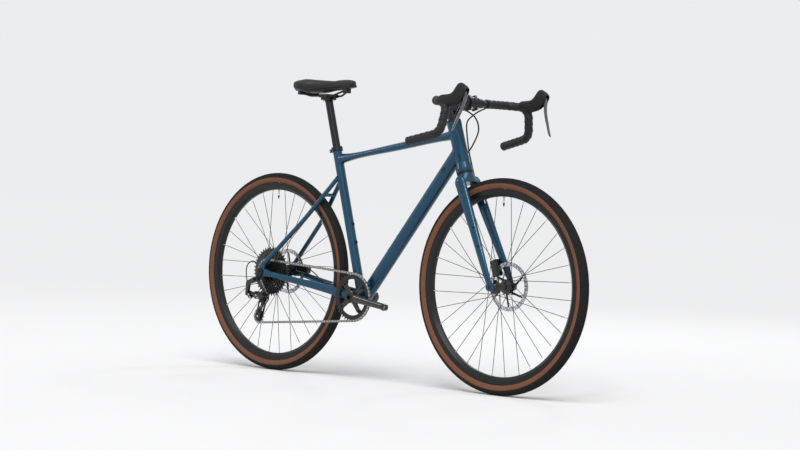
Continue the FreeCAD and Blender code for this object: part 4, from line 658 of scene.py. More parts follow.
def makeCasing(bm, axle):
    centre = tyre["centreLine"] * mm
    beadAngle = math.pi - math.acos((tyre["centreLine"] - tyre["beadRadius"]) / tyre["casing"])
    count = tyre["profilePoints"]
    spots = []
    for k in range(count + 1):
        angle = beadAngle * (2 * k / count - 1)
        section = tyreSection(angle)
        spots.append((section * math.sin(angle), centre + section * math.cos(angle)))
    bead = (tyre["beadRadius"] + tyre["beadLift"]) * mm
    spots += [(side * tyre["beadHalf"] * mm, bead) for side in (1, -1)]
    line = [bm.verts.new(axle + Vector((0, across, height))) for across, height in spots]
    edges = [bm.edges.new(pair) for pair in zip(line, line[1:] + line[:1])]
    spinRound(bm, line, edges, axle, left, tyre["steps"])


def makeKnobs(bm, axle):
    around = int(2 * math.pi * tyre["outside"] / tyre["knobAround"])
    high = tyre["treadFloor"] + tyre["knobSize"][2] / 2 - tyre["knobSunk"]
    knobs = []
    for row in range(1 - tyre["rows"], tyre["rows"]):
        made = bmesh.ops.create_cube(bm, size=1.0)["verts"]
        for vert in made:
            if vert.co.z > 0:
                vert.co.x *= tyre["taper"]
                vert.co.y *= tyre["taper"]
        base = min(vert.co.z for vert in made)
        floorFaces = [face for face in {face for vert in made for face in vert.link_faces}
                      if all(abs(vert.co.z - base) < tyre["level"] for vert in face.verts)]
        bmesh.ops.delete(bm, geom=floorFaces, context="FACES_ONLY")
        stagger = Matrix.Rotation(math.pi / around if row % 2 else 0.0, 4, "Y")
        lean = Matrix.Rotation(-math.radians(row * tyre["rowStep"]), 4, "X")
        lift = Matrix.Translation((0, 0, high * mm))
        place = Matrix.Translation(axle) @ stagger @ Matrix.Translation((0, 0, tyre["centreLine"] * mm)) @ lean @ lift
        bmesh.ops.transform(bm, matrix=place @ scaling(tyre["knobSize"]), verts=made)
        knobs += made
    whole = knobs + list({edge for vert in knobs for edge in vert.link_edges})
    whole += list({face for vert in knobs for face in vert.link_faces})
    bmesh.ops.spin(bm, geom=whole, cent=axle, axis=left, dvec=(0, 0, 0), angle=2 * math.pi * (around - 1) / around,
                   steps=around - 1, use_duplicate=True)


def makeTyre(end, axle):
    bm = bmesh.new()
    makeCasing(bm, axle)
    makeKnobs(bm, axle)
    turnOut(bm)
    piece = addPiece(end + "Tyre", bm, end + "_wheel", tyreFinish[end], "tyre_rubber")
    creaseSharp(piece, tyre["crease"])
    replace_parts(piece, end + "_tyre")


valve = {"base": 292.5, "stem": 2.9, "nut": ((0, 0), (5.2, 0), (5.2, 3.4), (4.4, 4.2), (2.9, 4.2)), "threadStart": 5.0,
         "threadEnd": 22.0, "threadPitch": 0.9, "threadDepth": 0.28, "end": ((2.9, 22), (2.3, 23), (0, 23)),
         "cap": ((0, 22), (3.1, 22), (3.0, 28), (1.82, 31), (1.17, 34), (0, 34)), "steps": 20}


def makeValve(end, axle):
    base = axle + upward * valve["base"] * mm
    stem, pitch = valve["stem"], valve["threadPitch"]
    ridges = []
    height = valve["threadStart"]
    while height < valve["threadEnd"]:
        ridges += [(stem, height), (stem - valve["threadDepth"], height + pitch / 2)]
        height += pitch
    profile = [*valve["nut"], *ridges, *valve["end"]]
    body = end + "_wheel"
    ringPiece(end + "ValveStem", body, *bright, [(base, -upward, profile)], valve["steps"], False)
    ringPiece(end + "ValveCap", body, *plastic, [(base, -upward, valve["cap"])], valve["steps"], False)


for end, axle in wheelAxles.items():
    makeTyre(end, axle)
    makeValve(end, axle)
print("tyres and valves made")


# Bar tape wound round both halves of the bar

barLine = {"corners": [(0, 0, 0), (2, 197, 0), (75, 203, -8), (64, 222, -106), (-58, 238, -134)],
           "bends": (42, 34, 40), "tapeStart": 75.0, "wrapPitch": 21.0, "tapeInside": 12.1, "tapeLow": 13.2,
           "tapeHigh": 15.0, "edgeShare": 0.10, "sides": 28, "step": 1.1, "seam": 0.02, "bandBack": 3.0,
           "band": ((12, 0), (14.7, 0), (15.3, 0.6), (15.3, 17), (14.6, 18), (12, 18)), "plugBack": 1.0,
           "plug": ((0, 0), (13.6, 0), (14.4, 1.2), (13.6, 2.6), (9.52, 3.4), (0, 3.6))}


def tapeRadius(run, angle, hand):
    phase = (run / (barLine["wrapPitch"] * mm) + hand * angle / (2 * math.pi)) % 1.0
    rise = phase / (1 - barLine["edgeShare"])
    drop = (1 - phase) / barLine["edgeShare"]
    return (barLine["tapeLow"] + (barLine["tapeHigh"] - barLine["tapeLow"]) * min(1.0, rise, drop)) * mm


def barHalf(side):
    corners = [clampCentre + Vector((x, y * side, z)) * mm for x, y, z in barLine["corners"]]
    start = corners[0] + (corners[1] - corners[0]).normalized() * barLine["tapeStart"] * mm
    return bentLine([start] + corners[1:], [radius * mm for radius in barLine["bends"]], barLine["step"] * mm)


def makeTape():
    bm = bmesh.new()
    bands = []
    plugs = []
    for side in (1, -1):
        points = barHalf(side)
        half = bmesh.new()
        tubeGrid(half, points, barLine["sides"], lambda run, angle: tapeRadius(run, angle, side), upward)
        merge(half, barLine["seam"])
        for vert in extruded(half, [edge for edge in half.edges if edge.is_boundary]):
            middle = min((points[0], points[-1]), key=lambda point: (point - vert.co).length)
            vert.co = middle + (vert.co - middle).normalized() * barLine["tapeInside"] * mm
        turnOut(half)
        takeIn(bm, meshOf("tape_half", half))
        outward = left * side
        bands.append((points[0] - outward * barLine["bandBack"] * mm, outward, barLine["band"]))
        tail = (points[-1] - points[-4]).normalized()
        plugs.append((points[-1] - tail * barLine["plugBack"] * mm, tail, barLine["plug"]))
    piece = addPiece("barTapeWrap", bm, "front_end", tape, "bar_wrap")
    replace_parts(piece, "bar_tape")
    ringPiece("tapeEndBands", "front_end", *plastic, bands)
    ringPiece("barEndPlugs", "front_end", *plastic, plugs)


makeTape()
print("bar tape made")


# Lever hoods

hood = {"stations": ((46, -1, 15, 14.5), (54, -1.5, 17.5, 16.4), (70, -3, 20, 17), (88, -1, 20.5, 16),
                     (102, 4.5, 23.5, 15), (112, 12, 29, 14.5), (121, 18.5, 32.5, 14), (131, 22, 31, 13.5),
                     (141, 24, 24.5, 13.5), (151, 26, 16, 12.5), (157, 28, 8, 8.5)),
        "sides": 28, "perStation": 5, "square": 2.5, "seam": 0.02, "ribStart": 70, "ribEnd": 118, "ribBand": 0.75,
        "ribDepth": 0.45, "ribTurn": 0.9, "slotSize": (51, 16.2, 81), "slotFrom": (14.5, 0, -19.5), "crease": 40}


def hoodSpot(ahead, rise, deep, wide, angle):
    power = 2 / hood["square"]
    across = signedPower(math.cos(angle), power) * wide
    if hood["ribStart"] < ahead < hood["ribEnd"] and abs(math.sin(angle)) < hood["ribBand"]:
        wave = math.sin((ahead - hood["ribStart"]) * hood["ribTurn"])
        across += math.copysign(hood["ribDepth"], across) * wave
    return Vector((ahead, across, rise + signedPower(math.sin(angle), power) * deep)) * mm


def makeHoods():
    bm = bmesh.new()
    slots = bmesh.new()
    rows = smoothTable(hood["stations"], hood["perStation"])
    sides = hood["sides"]
    for side in (1, -1):
        root = clampCentre + left * leverFromClamp.y * side
        half = bmesh.new()
        made = rowGrid(half, len(rows), sides)
        for row, station in enumerate(rows):
            for k in range(sides + 1):
                made[row * (sides + 1) + k].co = root + hoodSpot(*station, 2 * math.pi * k / sides)
        seal(half, hood["seam"])
        takeIn(bm, meshOf("hood_half", half))
        pivot = root + forward * leverFromClamp.x + upward * leverFromClamp.z
        place = Matrix.Translation(pivot + Vector(hood["slotFrom"]) * mm) @ scaling(hood["slotSize"])
        bmesh.ops.create_cube(slots, size=1.0, matrix=place)
    piece = addPiece("leverHoodSkins", bm, "front_end", hoodRubber, "hood_rubber")
    cutter = addObject("hood_cutter", meshOf("hood_cutter", slots))
    modifier = piece.modifiers.new("slot", "BOOLEAN")
    modifier.object = cutter
    modifier.operation = "DIFFERENCE"
    modifier.solver = "EXACT"
    carved = evaluated(piece)
    piece.modifiers.clear()
    piece.data = carved
    bpy.data.objects.remove(cutter)
    creaseSharp(piece, hood["crease"])
    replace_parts(piece, "lever_hoods")


makeHoods()
print("hoods made")


# Saddle pad, swelled by cloth pressure

saddle = {"stations": ((0.0, 0.70, -27, -8), (0.06, 0.93, -33, -2), (0.2, 0.98, -36, -3), (0.42, 0.61, -34, -7),
                       (0.62, 0.355, -29, -7), (0.85, 0.275, -25, -4), (0.97, 0.195, -22, -5), (1.0, 0.12, -19.5, -9)),
          "perStation": 5, "sides": 30, "inset": 2.0, "plan": 0.75, "tuck": 0.08, "waist": 0.5, "skirt": 5.5,
          "footCurve": 0.3, "topCurve": 0.7, "seam": 0.02, "voxel": 4.0, "pressure": 4.0, "quality": 5, "frames": 20,
          "cap": 5.0, "soften": 0.5, "grooveDepth": 4.5, "grooveHalf": 9.0, "grooveIn": (0.05, 0.12),
          "grooveOut": (0.9, 0.15), "topFacing": 0.2, "topRoom": 2.0, "fill": 0.85}


def saddleForm(low, high):
    bm = bmesh.new()
    rows = smoothTable(saddle["stations"], saddle["perStation"])
    sides, waist = saddle["sides"], saddle["waist"]
    halfWidth = (high.y - low.y) / 2
    inset = saddle["inset"] * mm
    made = rowGrid(bm, len(rows), sides)
    for row, (share, width, foot, top) in enumerate(rows):
        ahead = low.x + inset + share * (high.x - low.x - 2 * inset)
        middle = foot + (top - foot) * waist
        for k in range(sides + 1):
            turn = 2 * math.pi * k / sides
            across, lift = math.cos(turn), math.sin(turn)
            wide = signedPower(across, saddle["plan"]) * width * halfWidth
            if lift < 0:
                wide *= 1 - saddle["tuck"] * lift * lift
                height = middle + (foot - saddle["skirt"] - middle) * abs(lift) ** saddle["footCurve"]
            else:
                height = foot + (top - foot) * (waist + (1 - waist) * lift ** saddle["topCurve"])
            made[row * (sides + 1) + k].co = Vector((ahead, wide, high.z + height * mm))
    seal(bm, saddle["seam"])
    return bm


def swell(piece):
    rest = [vert.co.copy() for vert in piece.data.vertices]
    cloth = piece.modifiers.new("swell", "CLOTH")
    cloth.settings.use_pressure = True
    cloth.settings.uniform_pressure_force = saddle["pressure"]
    cloth.settings.effector_weights.gravity = 0
    cloth.settings.quality = saddle["quality"]
    for number in range(1, saddle["frames"] + 1):
        bpy.context.scene.frame_set(number)
    swollen = piece.evaluated_get(bpy.context.evaluated_depsgraph_get())
    places = [vert.co.copy() for vert in swollen.data.vertices]
    piece.modifiers.clear()
    bpy.context.scene.frame_set(1)
    limit = saddle["cap"] * mm
    for vert, home, place in zip(piece.data.vertices, rest, places):
        move = place - home
        vert.co = home + move * min(1.0, limit / max(move.length, 1e-9))


def cutGroove(piece, low, high):
    shape = bmesh.new()
    shape.from_mesh(piece.data)
    bmesh.ops.smooth_vert(shape, verts=shape.verts, factor=saddle["soften"], use_axis_x=True, use_axis_y=True,
                          use_axis_z=True)
    (start, fadeIn), (end, fadeOut) = saddle["grooveIn"], saddle["grooveOut"]
    for vert in shape.verts:
        share = (vert.co.x - low.x) / (high.x - low.x)
        fade = max(0.0, min(1.0, (share - start) / fadeIn, (end - share) / fadeOut))
        groove = math.exp(-(vert.co.y / (saddle["grooveHalf"] * mm)) ** 2)
        if vert.normal.z > saddle["topFacing"]:
            vert.co.z -= saddle["grooveDepth"] * mm * fade * groove
        vert.co.z = min(vert.co.z, high.z + saddle["topRoom"] * mm)
    shape.to_mesh(piece.data)
    shape.free()


def makeSaddle():
    low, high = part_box("saddle_pad")
    piece = addPiece("saddlePad", saddleForm(low, high), None, leather, "saddle_cover")
    remesh = piece.modifiers.new("voxels", "REMESH")
    remesh.mode = "VOXEL"
    remesh.voxel_size = saddle["voxel"] * mm
    piece.data = evaluated(piece)
    piece.modifiers.clear()
    swell(piece)
    cutGroove(piece, low, high)
    for face in piece.data.polygons:
        face.use_smooth = True
    if not piece.data.materials:
        piece.data.materials.append(leather.material)
    finer = piece.modifiers.new("finer", "SUBSURF")
    finer.levels = 1
    finer.render_levels = 1
    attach(piece, "seat")
    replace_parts(piece, "saddle_pad")


makeSaddle()
print("saddle pad made")


# Cords, each along the points of its route

cords = {"sides": 12, "seam": 0.01, "sideways": (0.3, 0.5, 0.8), "crease": 50, "hose": 2.5, "housing": 2.0,
         "cableOne": ((-2, -72, -15), (17, -54, -24), (29, -30, -37), (35, -14, -52), (31, 4, -75), (21, 15, -97),
                      (1, 21, -125), (-24, 26, -155), (-64.1, 34, -182.5), (-85.6, 29, -208.9),
                      (-104.5, 25.9, -232.1)),
         "cableTwo": ((-7, -66.6, -15), (12, -48.6, -24), (24, -24.6, -37), (30, -8.6, -52), (26, 9.4, -75),
                      (16, 20.4, -97), (-4, 26.4, -125), (-29, 31.4, -155), (-67.3, 39.4, -186.4),
                      (-88.8, 29, -212.8), (-107.7, 25.9, -236)),
         "frontTop": ((-2, 72, -15), (-5, 45, -24), (-21, 26, -43)),
         "frontLow": ((566, 30, 25), (522, 12, 36), (474, 3, 39), (428, 3, 39.5), (390, 3, 40), (364, 3, 41)),
         "gear": ((-12.6, -76, 19.3), (-24, -78.4, 32.1), (-40.4, -80.8, 35.9), (-56, -83.2, 29.2),
                  (-65, -85.6, 14.5), (-64.3, -88, -2.9), (-60, -90.5, -18), (-53.9, -92.2, -36.8)),
         "rear": ((164, 57.2, 6), (140, 58.6, 17), (120, 59.5, 24), (104.8, 60, 27))}


def spotsFrom(centre, spots):
    return [centre + Vector(spot) * mm for spot in spots]


def makeCord(name, route, radius, body):
    mesh = curveMesh(route, "NURBS", {"resolution_u": 10}, {"order_u": 3, "use_endpoint_u": True})
    points = [vert.co.copy() for vert in mesh.vertices]
    bpy.data.meshes.remove(mesh)
    bm = bmesh.new()
    tubeGrid(bm, points, cords["sides"], lambda run, angle: radius * mm, Vector(cords["sideways"]).normalized())
    seal(bm, cords["seam"])
    piece = addPiece(name, bm, body, hoseSkin, "black_plastic")
    creaseSharp(piece, cords["crease"])
    return piece


def makeCords():
    hose, housing = cords["hose"], cords["housing"]
    cables = []
    for name in ("cableOne", "cableTwo"):
        route = spotsFrom(clampCentre, cords[name])
        piece = makeCord(name, route, hose, None)
        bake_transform(piece)
        cables.append(piece)
    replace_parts(cables[0], "control_cables")
    route = spotsFrom(clampCentre, cords["frontTop"]) + [onSteer(*spot) for spot in cords["frontLow"]]
    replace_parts(makeCord("frontBrakeHose", route, hose, "front_end"), "front_brake_hose")
    route = spotsFrom(rearAxle, cords["gear"])
    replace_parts(makeCord("gearHousing", route, housing, "frame"), "rear_cables")
    makeCord("rearBrakeHose", [onStay(*spot) for spot in cords["rear"]], housing, "frame")


makeCords()
print("cords made")


# Stem bosses, pinch lugs and bolts

stemFit = {"lean": 12.3, "length": 90.0, "bossRise": 20.6, "bossSide": 15.0, "backFrom": -13.0, "faceFrom": 1.7,
           "backBoss": ((0, 0), (3.6, 0), (4.6, 1), (4.6, 13.9), (0, 13.9)),
           "faceBoss": ((0, 0), (4.6, 0), (4.6, 8), (3.9, 8.8), (0, 8.8)), "boltFrom": 10.5, "bolt": (3.5, 2.8),
           "pinchBack": 22.0, "pinchSize": (9.5, 8.6, 34.0), "pinchRound": 1.6, "pinchSide": 5.7, "pinchRise": 9.0,
           "pinchOut": 9.8, "pinchBolt": (3.2, 2.8), "capRise": 23.9, "capBolt": (4.6, 1.8)}
lean = math.radians(stemFit["lean"])
stemAhead = Vector((math.cos(lean), 0, math.sin(lean)))
stemRise = Vector((-math.sin(lean), 0, math.cos(lean)))
stemRoot = clampCentre - stemAhead * stemFit["length"] * mm


def makeStemFittings():
    bosses = []
    faceBolts = []
    for side in (-1, 1):
        for lift in (-1, 1):
            base = clampCentre + (left * side * stemFit["bossSide"] + stemRise * lift * stemFit["bossRise"]) * mm
            bosses.append((base + stemAhead * stemFit["backFrom"] * mm, stemAhead, stemFit["backBoss"]))
            bosses.append((base + stemAhead * stemFit["faceFrom"] * mm, stemAhead, stemFit["faceBoss"]))
            faceBolts.append((base + stemAhead * stemFit["boltFrom"] * mm, stemAhead, *stemFit["bolt"]))
    ringPiece("stemBoltBosses", "front_end", *black, bosses, steps=24)
    boltPiece("stemFaceBolts", "front_end", *bright, faceBolts)
    back = stemRoot - steerAhead * stemFit["pinchBack"] * mm
    halves = []
    pinch = []
    for side in (1, -1):
        middle = back + left * side * stemFit["pinchSide"] * mm
        halves.append((standOn(middle, steerAhead, steerUp), stemFit["pinchSize"], stemFit["pinchRound"]))
        head = back + (steerUp * stemFit["pinchRise"] + left * stemFit["pinchOut"]) * side * mm
        pinch.append((head, left * side, *stemFit["pinchBolt"]))
    blockPiece("stemPinchLugs", "front_end", *black, halves)
    pinch.append((stemRoot + steerUp * stemFit["capRise"] * mm, steerUp, *stemFit["capBolt"]))
    boltPiece("stemPinchBolts", "front_end", *bright, pinch)


makeStemFittings()
print("stem fittings made")


# Seat collar bolt and saddle clamp bolts

seatFit = {"collarHeight": 524.0, "collarBack": 24.5, "lugHalf": 9.0, "collarBolt": (3.6, 3.6),
           "collarNut": ((0, 0), (4, 0), (4, 1.6), (3.4, 2.2), (0, 2.2)), "headHeight": 706.0, "earAhead": 25.0,
           "earSize": (9.5, 14.0, 8.0), "earRound": 1.8, "earLift": 0.5, "boltDrop": 3.4, "bolt": (3.6, 4.2),
           "nutLift": 4.4, "nut": ((0, 0), (4.4, 0), (4.4, 4.6), (3.6, 5.4), (0, 5.4))}


def makeSeatFittings():
    collar = crankCentre + seatUp * seatFit["collarHeight"] * mm - seatAhead * seatFit["collarBack"] * mm
    half = left * (seatFit["lugHalf"] * mm)
    boltPiece("collarBolt", "frame", *bright, [(collar - half, -left, *seatFit["collarBolt"])])
    ringPiece("collarNut", "frame", *bright, [(collar + half, left, seatFit["collarNut"])], steps=24)
    head = crankCentre + seatUp * seatFit["headHeight"] * mm
    ears = []
    bolts = []
    nuts = []
    for side in (-1, 1):
        spot = head + forward * side * seatFit["earAhead"] * mm
        middle = spot + upward * seatFit["earLift"] * mm
        ears.append((Matrix.Translation(middle), seatFit["earSize"], seatFit["earRound"]))
        bolts.append((spot - upward * seatFit["boltDrop"] * mm, -upward, *seatFit["bolt"]))
        nuts.append((spot + upward * seatFit["nutLift"] * mm, upward, seatFit["nut"]))
    blockPiece("saddleClampEars", "seat", *black, ears)
    boltPiece("saddleClampBolts", "seat", *bright, bolts)
    ringPiece("saddleClampNuts", "seat", mattMetal, "black_steel", nuts, steps=24)


makeSeatFittings()
print("seat fittings made")


# Brake callipers' caps and bolts, rotor lock rings, axle ends

brakeFit = {"front": {"body": "front_end", "face": 49.0, "cap": (12, 73), "bolts": ((6, 54), (18, 92)), "rotor": 38.0},
            "rear": {"body": "frame", "face": 69.0, "cap": (75, 25), "bolts": ((56, 27), (95, 23)), "rotor": 58.0},
            "cap": ((0, 0), (8.2, 0), (8.2, 0.9), (7.4, 1.7), (4.51, 1.7), (4.1, 1.1), (0, 1.1)), "bolt": (2.9, 2.4),
            "boltSunk": 0.1, "axleSunk": 0.05, "leftEnd": (6.8, 1.2), "rightEnd": (5.4, 1.0),
            "lock": ((16.2, 0.95), (20.5, 0.95), (20.5, 2.8), (19.6, 3.7), (12.2, 3.7), (16.2, 2.3))}


def brakeSpot(end, ahead, lift):
    face = brakeFit[end]["face"]
    return onSteer(lift, ahead, face) if end == "front" else onStay(ahead, face, lift)


def makeBrakeFittings():
    for end in wheelAxles:
        fit = brakeFit[end]
        cap = [(brakeSpot(end, *fit["cap"]), left, brakeFit["cap"])]
        ringPiece(end + "PistonCap", fit["body"], *black, cap, steps=32)
        sunk = left * brakeFit["boltSunk"] * mm
        bolts = [(brakeSpot(end, *spot) - sunk, left, *brakeFit["bolt"]) for spot in fit["bolts"]]
        boltPiece(end + "CalliperBolts", fit["body"], *bright, bolts)
    for end, axle in wheelAxles.items():
        fit = brakeFit[end]
        seat = axle + left * fit["rotor"] * mm
        ringPiece(end + "RotorLockRing", end + "_wheel", *black, [(seat, left, brakeFit["lock"])], steps=48)
        low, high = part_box(end + "_axle")
        sunk = brakeFit["axleSunk"] * mm
        ends = [(Vector((axle.x, high.y - sunk, axle.z)), left, *brakeFit["leftEnd"]),
                (Vector((axle.x, low.y + sunk, axle.z)), -left, *brakeFit["rightEnd"])]
        boltPiece(end + "AxleEnds", fit["body"], mattMetal, "black_alloy", ends)


makeBrakeFittings()
print("brake fittings made")


# Crank and chainring bolts

crankFit = {"angles": (37.2, 127.2, 217.2, 307.2), "spider": 55.0, "boltOut": 52.2, "bolt": (4.8, 1.9), "backOut": 45.4,
            "back": ((0, 0), (5.4, 0), (5.4, 0.7), (4.8, 1.3), (2.4, 1.3), (2.2, 0.5), (0, 0.5)), "capOut": 63.7,
            "cap": (13.0, 2.2)}


def makeCrankFittings():
    places = []
    backs = []
    for degrees in crankFit["angles"]:
        angle = math.radians(degrees)
        spot = crankCentre + Vector((math.cos(angle), 0, math.sin(angle))) * crankFit["spider"] * mm
        places.append((spot - left * crankFit["boltOut"] * mm, -left, *crankFit["bolt"]))
        backs.append((spot - left * crankFit["backOut"] * mm, left, crankFit["back"]))
    for side in (-1, 1):
        places.append((crankCentre + left * side * crankFit["capOut"] * mm, left * side, *crankFit["cap"]))
    boltPiece("crankBolts", "crankset", *black, places)
    ringPiece("ringBoltBacks", "crankset", *bright, backs, steps=24)


makeCrankFittings()
print("crank fittings made")


# Derailleur bolts, pins and outer plate

gearFit = {"mount": (-8, -98, -28), "mountBolt": (6.2, 2.6), "cageOut": 53.95, "cageBolt": (3.8, 1.8),
           "backOut": 38.65, "backBolt": (3.4, 1.6), "coverOut": 64.35,
           "cover": ((0, 0), (9.6, 0), (9.6, 0.8), (8.6, 1.8), (5.2, 2.0), (4.8, 1.2), (0, 1.2)),
           "root": (-40, -86, -84), "linkLength": 38.0, "linkReach": 6.0, "pinOut": 8.25,
           "pin": ((0, 0), (2.9, 0), (2.7, 0.6), (1.6, 1.1), (0, 1.2)), "plateSize": (29.0, 9.4, 2.6),
           "plateOut": 9.2, "plateRound": 1.0}


def makeGearFittings():
    mount = rearAxle + Vector(gearFit["mount"]) * mm
    boltPiece("mechMountBolt", "frame", *black, [(mount, -left, *gearFit["mountBolt"])])
    guide, tension = (Vector((centre.x, 0, centre.z)) for centre in (guideCentre, tensionCentre))
    cage = [(flat - left * gearFit["backOut"] * mm, left, *gearFit["backBolt"]) for flat in (guide, tension)]
    cage.append((tension - left * gearFit["cageOut"] * mm, -left, *gearFit["cageBolt"]))
    boltPiece("pulleyBolts", "cage", *bright, cage)
    cover = [(guide - left * gearFit["coverOut"] * mm, -left, gearFit["cover"])]
    ringPiece("knuckleCap", "knuckle", *black, cover, steps=32)
    shift = Vector(joints["derailleur_shift"]["axis"])
    axis = Vector(joints["outer_link_swing"]["axis"])
    root = rearAxle + Vector(gearFit["root"]) * mm
    for body, ahead in (("frame", 0.0), ("knuckle", gearFit["linkLength"])):
        pins = []
        for sign in (-1, 1):
            spot = root + (forward * ahead + shift * gearFit["linkReach"] * sign) * mm
            pins += [(spot + axis * way * gearFit["pinOut"] * mm, axis * way, gearFit["pin"]) for way in (-1, 1)]
        ringPiece(body + "LinkPins", body, *bright, pins, steps=18)
    outer = root + (forward * gearFit["linkLength"] / 2 - shift * gearFit["plateOut"]) * mm
    plate = [(standOn(outer, forward, shift), gearFit["plateSize"], gearFit["plateRound"])]
    blockPiece("linkOuterPlate", "outer_link_body", gloss, "black_alloy", plate)


makeGearFittings()
print("derailleur fittings made")


# Lever pivots, cable port plugs, fork bosses

smallFit = {"leverSide": 12.9, "pin": ((0, 0), (3, 0), (2.8, 0.7), (1.9, 1.1), (1.2, 1.1), (1, 0.6), (0, 0.6)),
            "downTop": (329.39, 0, 788.33), "downHeading": (-0.63183, 0, -0.77511), "portOut": 22.7,
            "portHalfWide": 6.0, "ports": ((-1, 82, 11, 1.9), (1, 97, 13.75, 2.2)), "portFoot": 0.4, "portSteps": 32,
            "portLine": ((1, 0.5), (0.9, 0.85), (0.6, 1), (0, 1)), "portCrease": 50, "bossHeights": (205, 140),
            "boss": (3.8, 2.0), "bossSunk": 0.4, "bladeAhead": 20.0, "bladeTop": 395.0, "bladeRake": 0.05,
            "castFrom": 110.0}


def ovalPlug(bm, base, outward, along, halfLong, height):
    before = set(bm.verts)
    profile = [(1, -smallFit["portFoot"] * mm)] + [(reach, height * share) for reach, share in smallFit["portLine"]]
    turnedRing(bm, base, outward, profile, smallFit["portSteps"])
    across = outward.cross(along)
    halfWide = smallFit["portHalfWide"] * mm
    for vert in bm.verts:
        if vert not in before:
            away = vert.co - base
            flat = along * away.dot(along) * halfLong + across * away.dot(across) * halfWide
            vert.co = base + flat + outward * away.dot(outward)


def makeSmallFittings():
    pins = []
    for side in (-1, 1):
        pivot = Vector((leverPivot.x, leverPivot.y * side, leverPivot.z))
        pins += [(pivot + left * way * smallFit["leverSide"] * mm, left * way, smallFit["pin"]) for way in (-1, 1)]
    ringPiece("leverPivotPins", "front_end", mattMetal, "black_steel", pins, steps=18)
    heading = Vector(smallFit["downHeading"])
    bm = bmesh.new()
    for side, back, halfLong, height in smallFit["ports"]:
        port = (Vector(smallFit["downTop"]) + heading * back + left * side * smallFit["portOut"]) * mm
        ovalPlug(bm, port, left * side, heading, halfLong * mm, height * mm)
    closeUp(bm)
    creaseSharp(addPiece("cablePorts", bm, "frame", *plastic), smallFit["portCrease"])
    places = []
    for side in (-1, 1):
        for height in smallFit["bossHeights"]:
            ahead = smallFit["bladeAhead"] + smallFit["bladeRake"] * (smallFit["bladeTop"] - height)
            start = onSteer(height, ahead, smallFit["castFrom"] * side)
            hit, spot = nodes["fork_blades"].ray_cast(start, -left * side)[:2]
            if hit:
                places.append((spot - left * side * smallFit["bossSunk"] * mm, left * side, *smallFit["boss"]))
    if places:
        boltPiece("forkBosses", "front_end", mattMetal, "black_alloy", places)
    print("fork bosses found:", len(places))


makeSmallFittings()
print("small fittings made")


# Weld beads along the frame joints

weld = {"bead": 2.3, "beadSteps": 2, "reach": 60.0, "sharp": 28.0, "merge": 0.004, "fewest": 12, "openShare": 0.08,
        "crease": 60,
        "joints": (("top_tube", (312, 0, 841)), ("top_tube", (-228, 0, 753)), ("down_tube", (329, 0, 788)),
                   ("down_tube", (-89, 0, 275)), ("seat_tube", (-104, 0, 305)), ("right_chainstay", (-122, -30, 287)),
                   ("left_chainstay", (-122, 30, 287)), ("seatstays", (-222, -12, 690)),
                   ("seatstays", (-222, 12, 690)))}


def sharpLines(name):  # lines along the hard edges of a node, each as points in order
    bm = bmesh.new()
    bm.from_mesh(nodes[name].data)
    merge(bm, weld["merge"])
    links = {}
    for edge in bm.edges:
        if len(edge.link_faces) == 2 and edge.calc_face_angle(0) > math.radians(weld["sharp"]):
            for vert in edge.verts:
                links.setdefault(vert, []).append(edge)
    seen = set()
    lines = []
    for start in links:
        line = []
        vert = start
        while vert is not None and vert not in seen:
            seen.add(vert)
            line.append(vert.co.copy())
            ahead = [edge.other_vert(vert) for edge in links[vert]]
            vert = next((other for other in ahead if other not in seen), None)
        if len(line) >= weld["fewest"]:
            lines.append(line)
    bm.free()
    return lines


def makeWelds():
    bm = bmesh.new()
    beads = 0
    for name, spot in weld["joints"]:
        near = []
        for line in sharpLines(name):
            middle = sum(line, Vector()) / len(line)
            length = sum((after - before).length for before, after in zip(line, line[1:] + line[:1]))
            closed = (line[-1] - line[0]).length < length * weld["openShare"]
            if closed and (middle - Vector(spot) * mm).length < weld["reach"] * mm:
                near.append((length, line))
        if near:
            line = max(near, key=lambda pair: pair[0])[1]
            bevel = {"bevel_depth": weld["bead"] * mm, "bevel_resolution": weld["beadSteps"]}
            takeIn(bm, curveMesh(line, "POLY", bevel, {"use_cyclic_u": True}))
            beads += 1
    creaseSharp(addPiece("weldBeads", bm, "frame", paint, "frame_paint"), weld["crease"])
    print("weld beads made:", beads)


makeWelds()


# Chain pins, on the ends of each outer plate

chainFit = {"line": 46.3, "halfPitch": 6.35, "pin": 1.9, "pinTop": 1.52, "proud": 0.35, "sides": 10, "plateMost": 1.8,
            "merge": 0.002, "crease": 40}


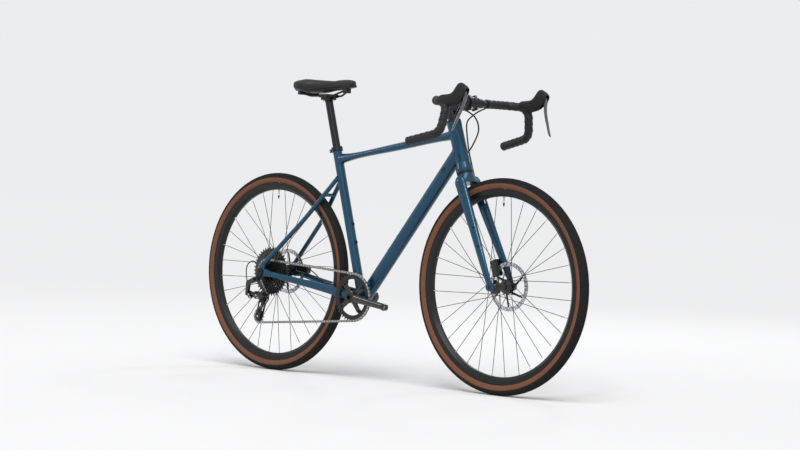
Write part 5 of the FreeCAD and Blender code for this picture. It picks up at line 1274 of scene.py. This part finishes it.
def chainPlates():  # the points of each plate, told from the rollers by being thin
    bm = bmesh.new()
    bm.from_mesh(nodes["chain"].data)
    merge(bm, chainFit["merge"])
    waiting = set(bm.verts)
    plates = []
    while waiting:
        group = []
        edge = [waiting.pop()]
        while edge:
            vert = edge.pop()
            group.append(vert.co.copy())
            for link in vert.link_edges:
                other = link.other_vert(vert)
                if other in waiting:
                    waiting.discard(other)
                    edge.append(other)
        across = [place.y for place in group]
        if max(across) - min(across) < chainFit["plateMost"] * mm:
            plates.append(group)
    bm.free()
    return plates


def makeChainPins():
    bm = bmesh.new()
    plates = chainPlates()
    proud = chainFit["proud"] * mm
    for group in plates:
        centre = sum(group, Vector()) / len(group)
        ends = [(min(place[axis] for place in group) + max(place[axis] for place in group)) / 2 for axis in (0, 2)]
        spread = [(place.x - centre.x, place.z - centre.z) for place in group]
        angle = 0.5 * math.atan2(sum(2 * x * z for x, z in spread), sum(x * x - z * z for x, z in spread))
        side = 1 if centre.y > -chainFit["line"] * mm else -1
        face = max(place.y * side for place in group) * side
        for way in (-1, 1):
            reach = chainFit["halfPitch"] * mm * way
            base = Vector((ends[0] + math.cos(angle) * reach, face, ends[1] + math.sin(angle) * reach))
            place = turnTo(base, left * side) @ Matrix.Translation((0, 0, proud / 2))
            bmesh.ops.create_cone(bm, cap_ends=True, segments=chainFit["sides"], radius1=chainFit["pin"] * mm,
                                  radius2=chainFit["pinTop"] * mm, depth=proud, matrix=place)
    creaseSharp(addPiece("chainPins", bm, "frame", *bright), chainFit["crease"])
    print("chain plates with pins:", len(plates))


makeChainPins()


# Fork shoulders, which round the blades into the crown

shoulder = {"height": 361.0, "ahead": 3.0, "side": 37.0, "half": (21.4, 13.0, 27.0), "around": 40, "rings": 20}


def makeShoulders():
    bm = bmesh.new()
    for side in (-1, 1):
        place = standOn(onSteer(shoulder["height"], shoulder["ahead"], shoulder["side"] * side), steerAhead, steerUp)
        bmesh.ops.create_uvsphere(bm, u_segments=shoulder["around"], v_segments=shoulder["rings"], radius=1.0,
                                  matrix=place @ scaling(shoulder["half"]))
    turnOut(bm)
    addPiece("forkShoulders", bm, "front_end", paint, "frame_paint")


makeShoulders()
print("fork shoulders made")


# The end

print("scene built")
